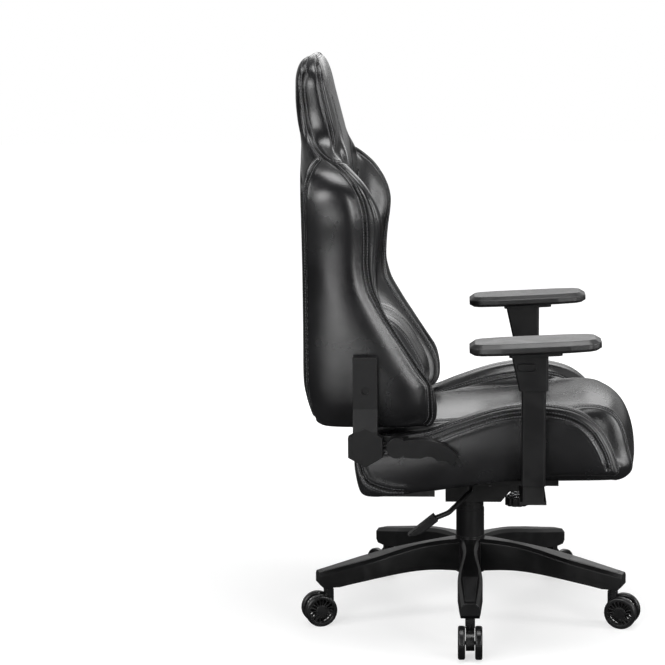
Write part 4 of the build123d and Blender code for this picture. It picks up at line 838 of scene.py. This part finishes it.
def makeBackrest():
    tall = np.linspace(backrest["bottom"], backrest["top"], 1400)
    outline = np.column_stack([tall] + [through(backrest[key], tall) for key in ("halfWidth", "ridge", "outerSeam")])
    levels = evenly(outline, step=backrest["rowStep"])[:, 0]
    rings = []
    for z in levels:
        half = backrestSection(z)
        ring = np.vstack([half, half[-2:0:-1] * (1, -1)])
        rings.append(np.column_stack([ring, np.full(len(ring), z)]))
    rings = np.array(rings)
    # the lower edge is rounded in
    for ring, (z, inset) in zip(rings, backrest["lowerEdge"]):
        area = 0.5 * np.sum(ring[:, 0] * np.roll(ring[:, 1], -1) - ring[:, 1] * np.roll(ring[:, 0], -1))
        ring[:, :2] -= np.sign(area) * sideways(ring[:, :2]) * inset
        ring[:, 2] = z
    piece = sewRings("backrestCushion", rings, lowCap=(0, 0, -0.001), capStart=sum(backrest["spans"]) // 2)
    # where the outer seam, the ridge and the crease lie in a section
    first, second, third = np.cumsum(backrest["spans"])[:3]
    seams = []
    for side in (-1, 1):
        outerLine, ridgeLine, rearLine, panelLine, creaseLine = [], [], [], [], []
        for z in np.linspace(backrest["seamsFrom"], backrest["edgeSeamsTo"], 70):
            section = backrestSection(z)
            outerLine.append((section[first][0], side * section[first][1], z))
            ridgeLine.append((section[second][0], side * section[second][1], z))
            if z < backrest["creaseTo"]:
                creaseLine.append((section[third][0], side * section[third][1], z))
            if z < backrest["panelSeamTo"]:
                inwards = backrest["panelSeamIn"] * float(fade(z, *backrest["panelSeamFade"]))
                y = side * (backrest["panelSeamAt"] - inwards)
                panelLine.append((float(through(backrest["panel"], z)), y, z))
        for z in np.linspace(backrest["seamsFrom"], backrest["rearSeamTo"], 40):
            section = backrestSection(z)
            seamX = through(backrest["rearSeam"], z)
            y = np.interp(seamX, section[:first + 1, 0], section[:first + 1, 1]) + 0.003
            rearLine.append((float(seamX), side * float(y), z))
        seams += [np.array(rearLine), np.array(panelLine), np.array(creaseLine)]
        # a short join across the border where the shoulder meets the head
        z = backrest["joinAt"]
        section = backrestSection(z)
        seams.append(np.array([(x, side * y, z) for x, y in section[first:second + 1:2]]))
        if side < 0:
            nearOuter, nearRidge = outerLine, ridgeLine
        else:
            # both edges of the border run on over the head as one line
            topOuter, topRidge = (
                [(backrest[x], y, z) for y, z in backrest["overHead"]] for x in ("overHeadOuter", "overHeadRidge")
            )
            seams.append(np.array(nearOuter + topOuter + outerLine[::-1]))
            seams.append(np.array(nearRidge + topRidge + ridgeLine[::-1]))
    return piece, seams


def heldBy(piece, laid, reach, alsoBelow=None):
    points = readPoints(piece.data)
    gap, _, _ = measureSeams(points, laid)
    held = np.where(gap < reach, 1.0, np.where(gap < 2 * reach, 0.5, 0.0))
    if alsoBelow is not None:
        held = np.where(points[:, 2] < alsoBelow, 1.0, held)
    return held


backrestPiece, backSeams = makeBackrest()
laidBack = layOnSurface(backrestPiece, backSeams)
held = heldBy(backrestPiece, laidBack, backrest["clothReach"], backrest["clothAbove"])
puffUp(backrestPiece, held, backrest["cloth"])
relax(backrestPiece.data, amount=0.5, rounds=2)
finishPadded(backrestPiece, laidBack, backrest["seam"], "back", "back_cushion")
print("backrest sewn")

# seat: loops in side view, from one side of the chair to the other

seat = {
    "middleTop": [(-0.222, 0.350), (-0.223, 0.380), (-0.215, 0.397), (-0.150, 0.426), (0.0, 0.441), (0.120, 0.452),
                  (0.200, 0.463), (0.246, 0.467), (0.282, 0.459), (0.305, 0.438), (0.320, 0.400), (0.3285, 0.350)],
    "middleBelow": [(0.3285, 0.350), (0.325, 0.329), (0.308, 0.3155), (0.287, 0.313), (0.100, 0.310),
                    (-0.120, 0.306), (-0.190, 0.300), (-0.209, 0.305), (-0.2165, 0.322), (-0.222, 0.350)],
    "bolsterTop": [(-0.222, 0.350), (-0.223, 0.380), (-0.215, 0.397), (-0.170, 0.413), (-0.084, 0.427),
                   (-0.020, 0.451), (0.060, 0.476), (0.135, 0.483), (0.205, 0.470), (0.245, 0.441), (0.272, 0.396),
                   (0.286, 0.353)],
    "bolsterBelow": [(0.286, 0.353), (0.2835, 0.3465), (0.276, 0.3445), (0.255, 0.344), (0.172, 0.344),
                     (-0.120, 0.306), (-0.190, 0.300), (-0.209, 0.305), (-0.2165, 0.322), (-0.222, 0.350)],
    "columns": 100, "halfWidth": 0.262, "middleTo": 0.150, "bolsterFrom": 0.206, "stationStep": 0.0058,
    "valley": 0.008, "frontValley": 0.026, "valleyWidth": 0.014, "frontFade": (0.14, 0.29),
    "rimFrom": 0.242, "rimDepth": 0.015, "frontBow": 0.008, "bowAt": 0.13,
    "crown": 0.009, "crownLift": 0.004, "crownAt": 0.135, "topRows": ((6, 22), (94, 104)),
    "seamsAt": (0.148, 0.186, 0.250), "seamRows": ((12, 110), (12, 114), (8, 102)),
    "sideSeam": {"loopAt": 0.2615, "laidAt": 0.263, "rows": (8, 99), "inwards": 0.035},
    "corner": [(-0.215, 0.372), (-0.209, 0.350), (-0.196, 0.332), (-0.166, 0.319), (-0.126, 0.311)], "cornerAt": 0.264,
    "clothReach": 0.0045, "sewnBelow": (0.318, 0.345),
    "cloth": {"pressure": 3.4, "frames": 20, "cap": 0.006, "tension": 14, "bending": 0.6},
    "seam": {"depth": 0.0022, "width": 0.0036, "swell": 0.0011}, "fill": 0.85,
}


def seatLoop(y):
    # one closed loop, rear first, over the top to the front and back underneath
    share = float(fade(abs(y), seat["middleTo"], seat["bolsterFrom"]))
    chains = []
    for part in ("Top", "Below"):
        middle, bolster = (
            evenly(splineThrough(seat[key + part], 10), count=seat["columns"] + 1) for key in ("middle", "bolster")
        )
        chains.append((middle * (1 - share) + bolster * share)[:-1])
    loop = np.vstack(chains)
    front = fade(loop[:, 0], *seat["frontFade"])
    fromValley = (abs(y) - seat["seamsAt"][1]) / seat["valleyWidth"]
    dip = (seat["valley"] + seat["frontValley"] * front) * math.exp(-fromValley ** 2)
    crown = (seat["crownLift"] - seat["crown"] * (y / seat["crownAt"]) ** 2) * (1 - share)
    row = np.arange(len(loop))
    rise, fall = seat["topRows"]
    top = fade(row, *rise) * (1 - fade(row, *fall))
    rim = max(0.0, (abs(y) - seat["rimFrom"]) / (seat["halfWidth"] - seat["rimFrom"]))
    inset = seat["rimDepth"] * (1 - math.sqrt(max(0.0, 1 - rim**2)))
    loop = loop - sideways(loop) * ((crown - dip) * top - inset)[:, None]
    loop[:, 0] -= seat["frontBow"] * (1 - share) * front * (abs(y) / seat["bowAt"]) ** 2
    return loop


def seatSeam(points, y):
    return np.column_stack([points[:, 0], np.full(len(points), y), points[:, 1]])[::3]


def makeSeat():
    half = seat["halfWidth"]
    stations = list(np.arange(0, seat["rimFrom"], seat["stationStep"]))
    turns = np.linspace(0, math.pi / 2, 9)
    stations += [seat["rimFrom"] + (half - seat["rimFrom"]) * math.sin(a) for a in turns]
    stations = np.array([-y for y in stations[:0:-1]] + stations)
    rings = []
    for y in stations:
        loop = seatLoop(y)
        rings.append(np.column_stack([loop[:, 0], np.full(len(loop), y), loop[:, 1]]))
    piece = sewRings("seatCushion", rings, lowCap=(0, -0.0035, 0), highCap=(0, 0.0035, 0), capRows=22)
    seams = []
    edge = seat["sideSeam"]
    for side in (-1, 1):
        for y, (first, last) in zip(seat["seamsAt"], seat["seamRows"]):
            seams.append(seatSeam(seatLoop(y)[first:last], side * y))
        loop = seatLoop(edge["loopAt"])
        lower = loop[slice(*edge["rows"])]
        seams.append(seatSeam(lower + (loop.mean(0) - lower) * edge["inwards"], side * edge["laidAt"]))
        seams.append(np.array([(x, side * seat["cornerAt"], z) for x, z in seat["corner"]]))
    return piece, seams


seatPiece, seatSeams = makeSeat()
laidSeat = layOnSurface(seatPiece, seatSeams)
# the underside is held too, so only the top and the sides swell
held = heldBy(seatPiece, laidSeat, seat["clothReach"])
held = np.maximum(held, 1 - fade(readPoints(seatPiece.data)[:, 2], *seat["sewnBelow"]))
puffUp(seatPiece, held, seat["cloth"])
relax(seatPiece.data, amount=0.5, rounds=2)
finishPadded(seatPiece, laidSeat, seat["seam"], "seat", "seat_cushion")
print("seat sewn")

# lumbar pillow between the wings

pillow = {
    "halfWidth": 0.1405, "bottom": 0.4545, "top": 0.634,
    "front": [(0.4545, -0.130), (0.462, -0.100), (0.480, -0.082), (0.520, -0.087), (0.560, -0.106), (0.590, -0.124),
              (0.612, -0.142), (0.626, -0.158), (0.634, -0.180)],
    "seamsAt": (-0.088, -0.030, 0.030, 0.088), "offPanel": 0.0048, "rearDepth": 0.012, "rearRound": 0.011,
    "clothReach": 0.004, "clothAbove": 0.459,
    "cloth": {"pressure": 4.0, "frames": 20, "cap": 0.006, "tension": 12, "bending": 0.4},
    "seam": {"depth": 0.0026, "width": 0.0040, "swell": 0.0014}, "fill": 0.75,
}


def pillowRing(t):
    # one level of the pillow, t from 0 at the bottom to 1 at the top
    z = pillow["bottom"] + (pillow["top"] - pillow["bottom"]) * t
    rear = float(through(backrest["panel"], z)) + pillow["offPanel"]
    front = float(through(pillow["front"], z))
    taper = (1 - abs(2 * t - 1) ** 7) ** 0.4
    side = pillow["halfWidth"] * (0.93 + 0.07 * taper)
    angles = np.linspace(0, 2 * math.pi, 120, endpoint=False)
    c, s = np.cos(angles), np.sin(angles)
    y = side * np.sign(s) * np.abs(s) ** 0.55
    depth = (front - rear) * (0.18 + 0.82 * taper)
    across = np.sign(c) * np.abs(c) ** 0.72
    reach = np.where(across >= 0, depth - pillow["rearDepth"], pillow["rearRound"])
    return np.column_stack([rear + pillow["rearDepth"] + reach * across, y, np.full(len(y), z)])


def makePillow():
    turns = np.linspace(0, math.pi, 30)
    rings = [pillowRing((1 - math.cos(a)) / 2) for a in turns]
    piece = sewRings("lumbarPillow", rings, lowCap=(0, 0, -0.0005), highCap=(0, 0, 0.001), capStart=30)
    seams = []
    for y in pillow["seamsAt"]:
        line = []
        for t in np.linspace(0.04, 0.985, 22):
            ring = pillowRing(t)
            front = ring[ring[:, 0] > ring[:, 0].mean()]
            order = np.argsort(front[:, 1])
            line.append((np.interp(y, front[order, 1], front[order, 0]), y, front[0, 2]))
        seams.append(np.array(line))
    return piece, seams


pillowPiece, pillowSeams = makePillow()
laidPillow = layOnSurface(pillowPiece, pillowSeams)
puffUp(pillowPiece, heldBy(pillowPiece, laidPillow, pillow["clothReach"], pillow["clothAbove"]), pillow["cloth"])
finishPadded(pillowPiece, laidPillow, pillow["seam"], "back", "lumbar_pillow")
print("lumbar pillow sewn")

# tension spring: a coil wound to fill the CAD spring's box, put in place of that part

coilSetup = {"wire": 0.0015, "turns": 4.5, "sides": 10, "stepsPerTurn": 32, "smoothBelow": 40}
low, high = (Vector(corner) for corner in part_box("tension_spring"))
wire, middle = coilSetup["wire"], (low.x + high.x) / 2
clearSelection()
bpy.ops.mesh.primitive_circle_add(
    vertices=coilSetup["sides"], radius=wire, location=((high.x - low.x) / 2 - wire, 0, 0),
    rotation=(math.pi / 2, 0, 0),
)
coil = bpy.context.object
coil.name = "tensionCoil"
bpy.ops.object.transform_apply(location=True, rotation=True, scale=True)
bpy.ops.object.modifier_add(type="SCREW")
screw = coil.modifiers[-1]
screw.angle = 2 * math.pi * coilSetup["turns"]
screw.screw_offset = high.z - low.z - 2 * wire
screw.steps = screw.render_steps = int(coilSetup["stepsPerTurn"] * coilSetup["turns"])
bpy.ops.object.modifier_apply(modifier=screw.name)
bpy.ops.object.mode_set(mode="EDIT")
bpy.ops.mesh.select_all(action="SELECT")
bpy.ops.mesh.fill_holes(sides=0)
bpy.ops.mesh.normals_make_consistent(inside=False)
bpy.ops.object.mode_set(mode="OBJECT")
coil.location = (middle, 0, low.z + wire)
bpy.ops.object.transform_apply(location=True, rotation=True, scale=True)
bpy.ops.object.shade_smooth_by_angle(angle=math.radians(coilSetup["smoothBelow"]))
coil.data.materials.append(materials["steel"])
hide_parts("tension_spring")
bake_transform(coil)
print("tension spring wound")
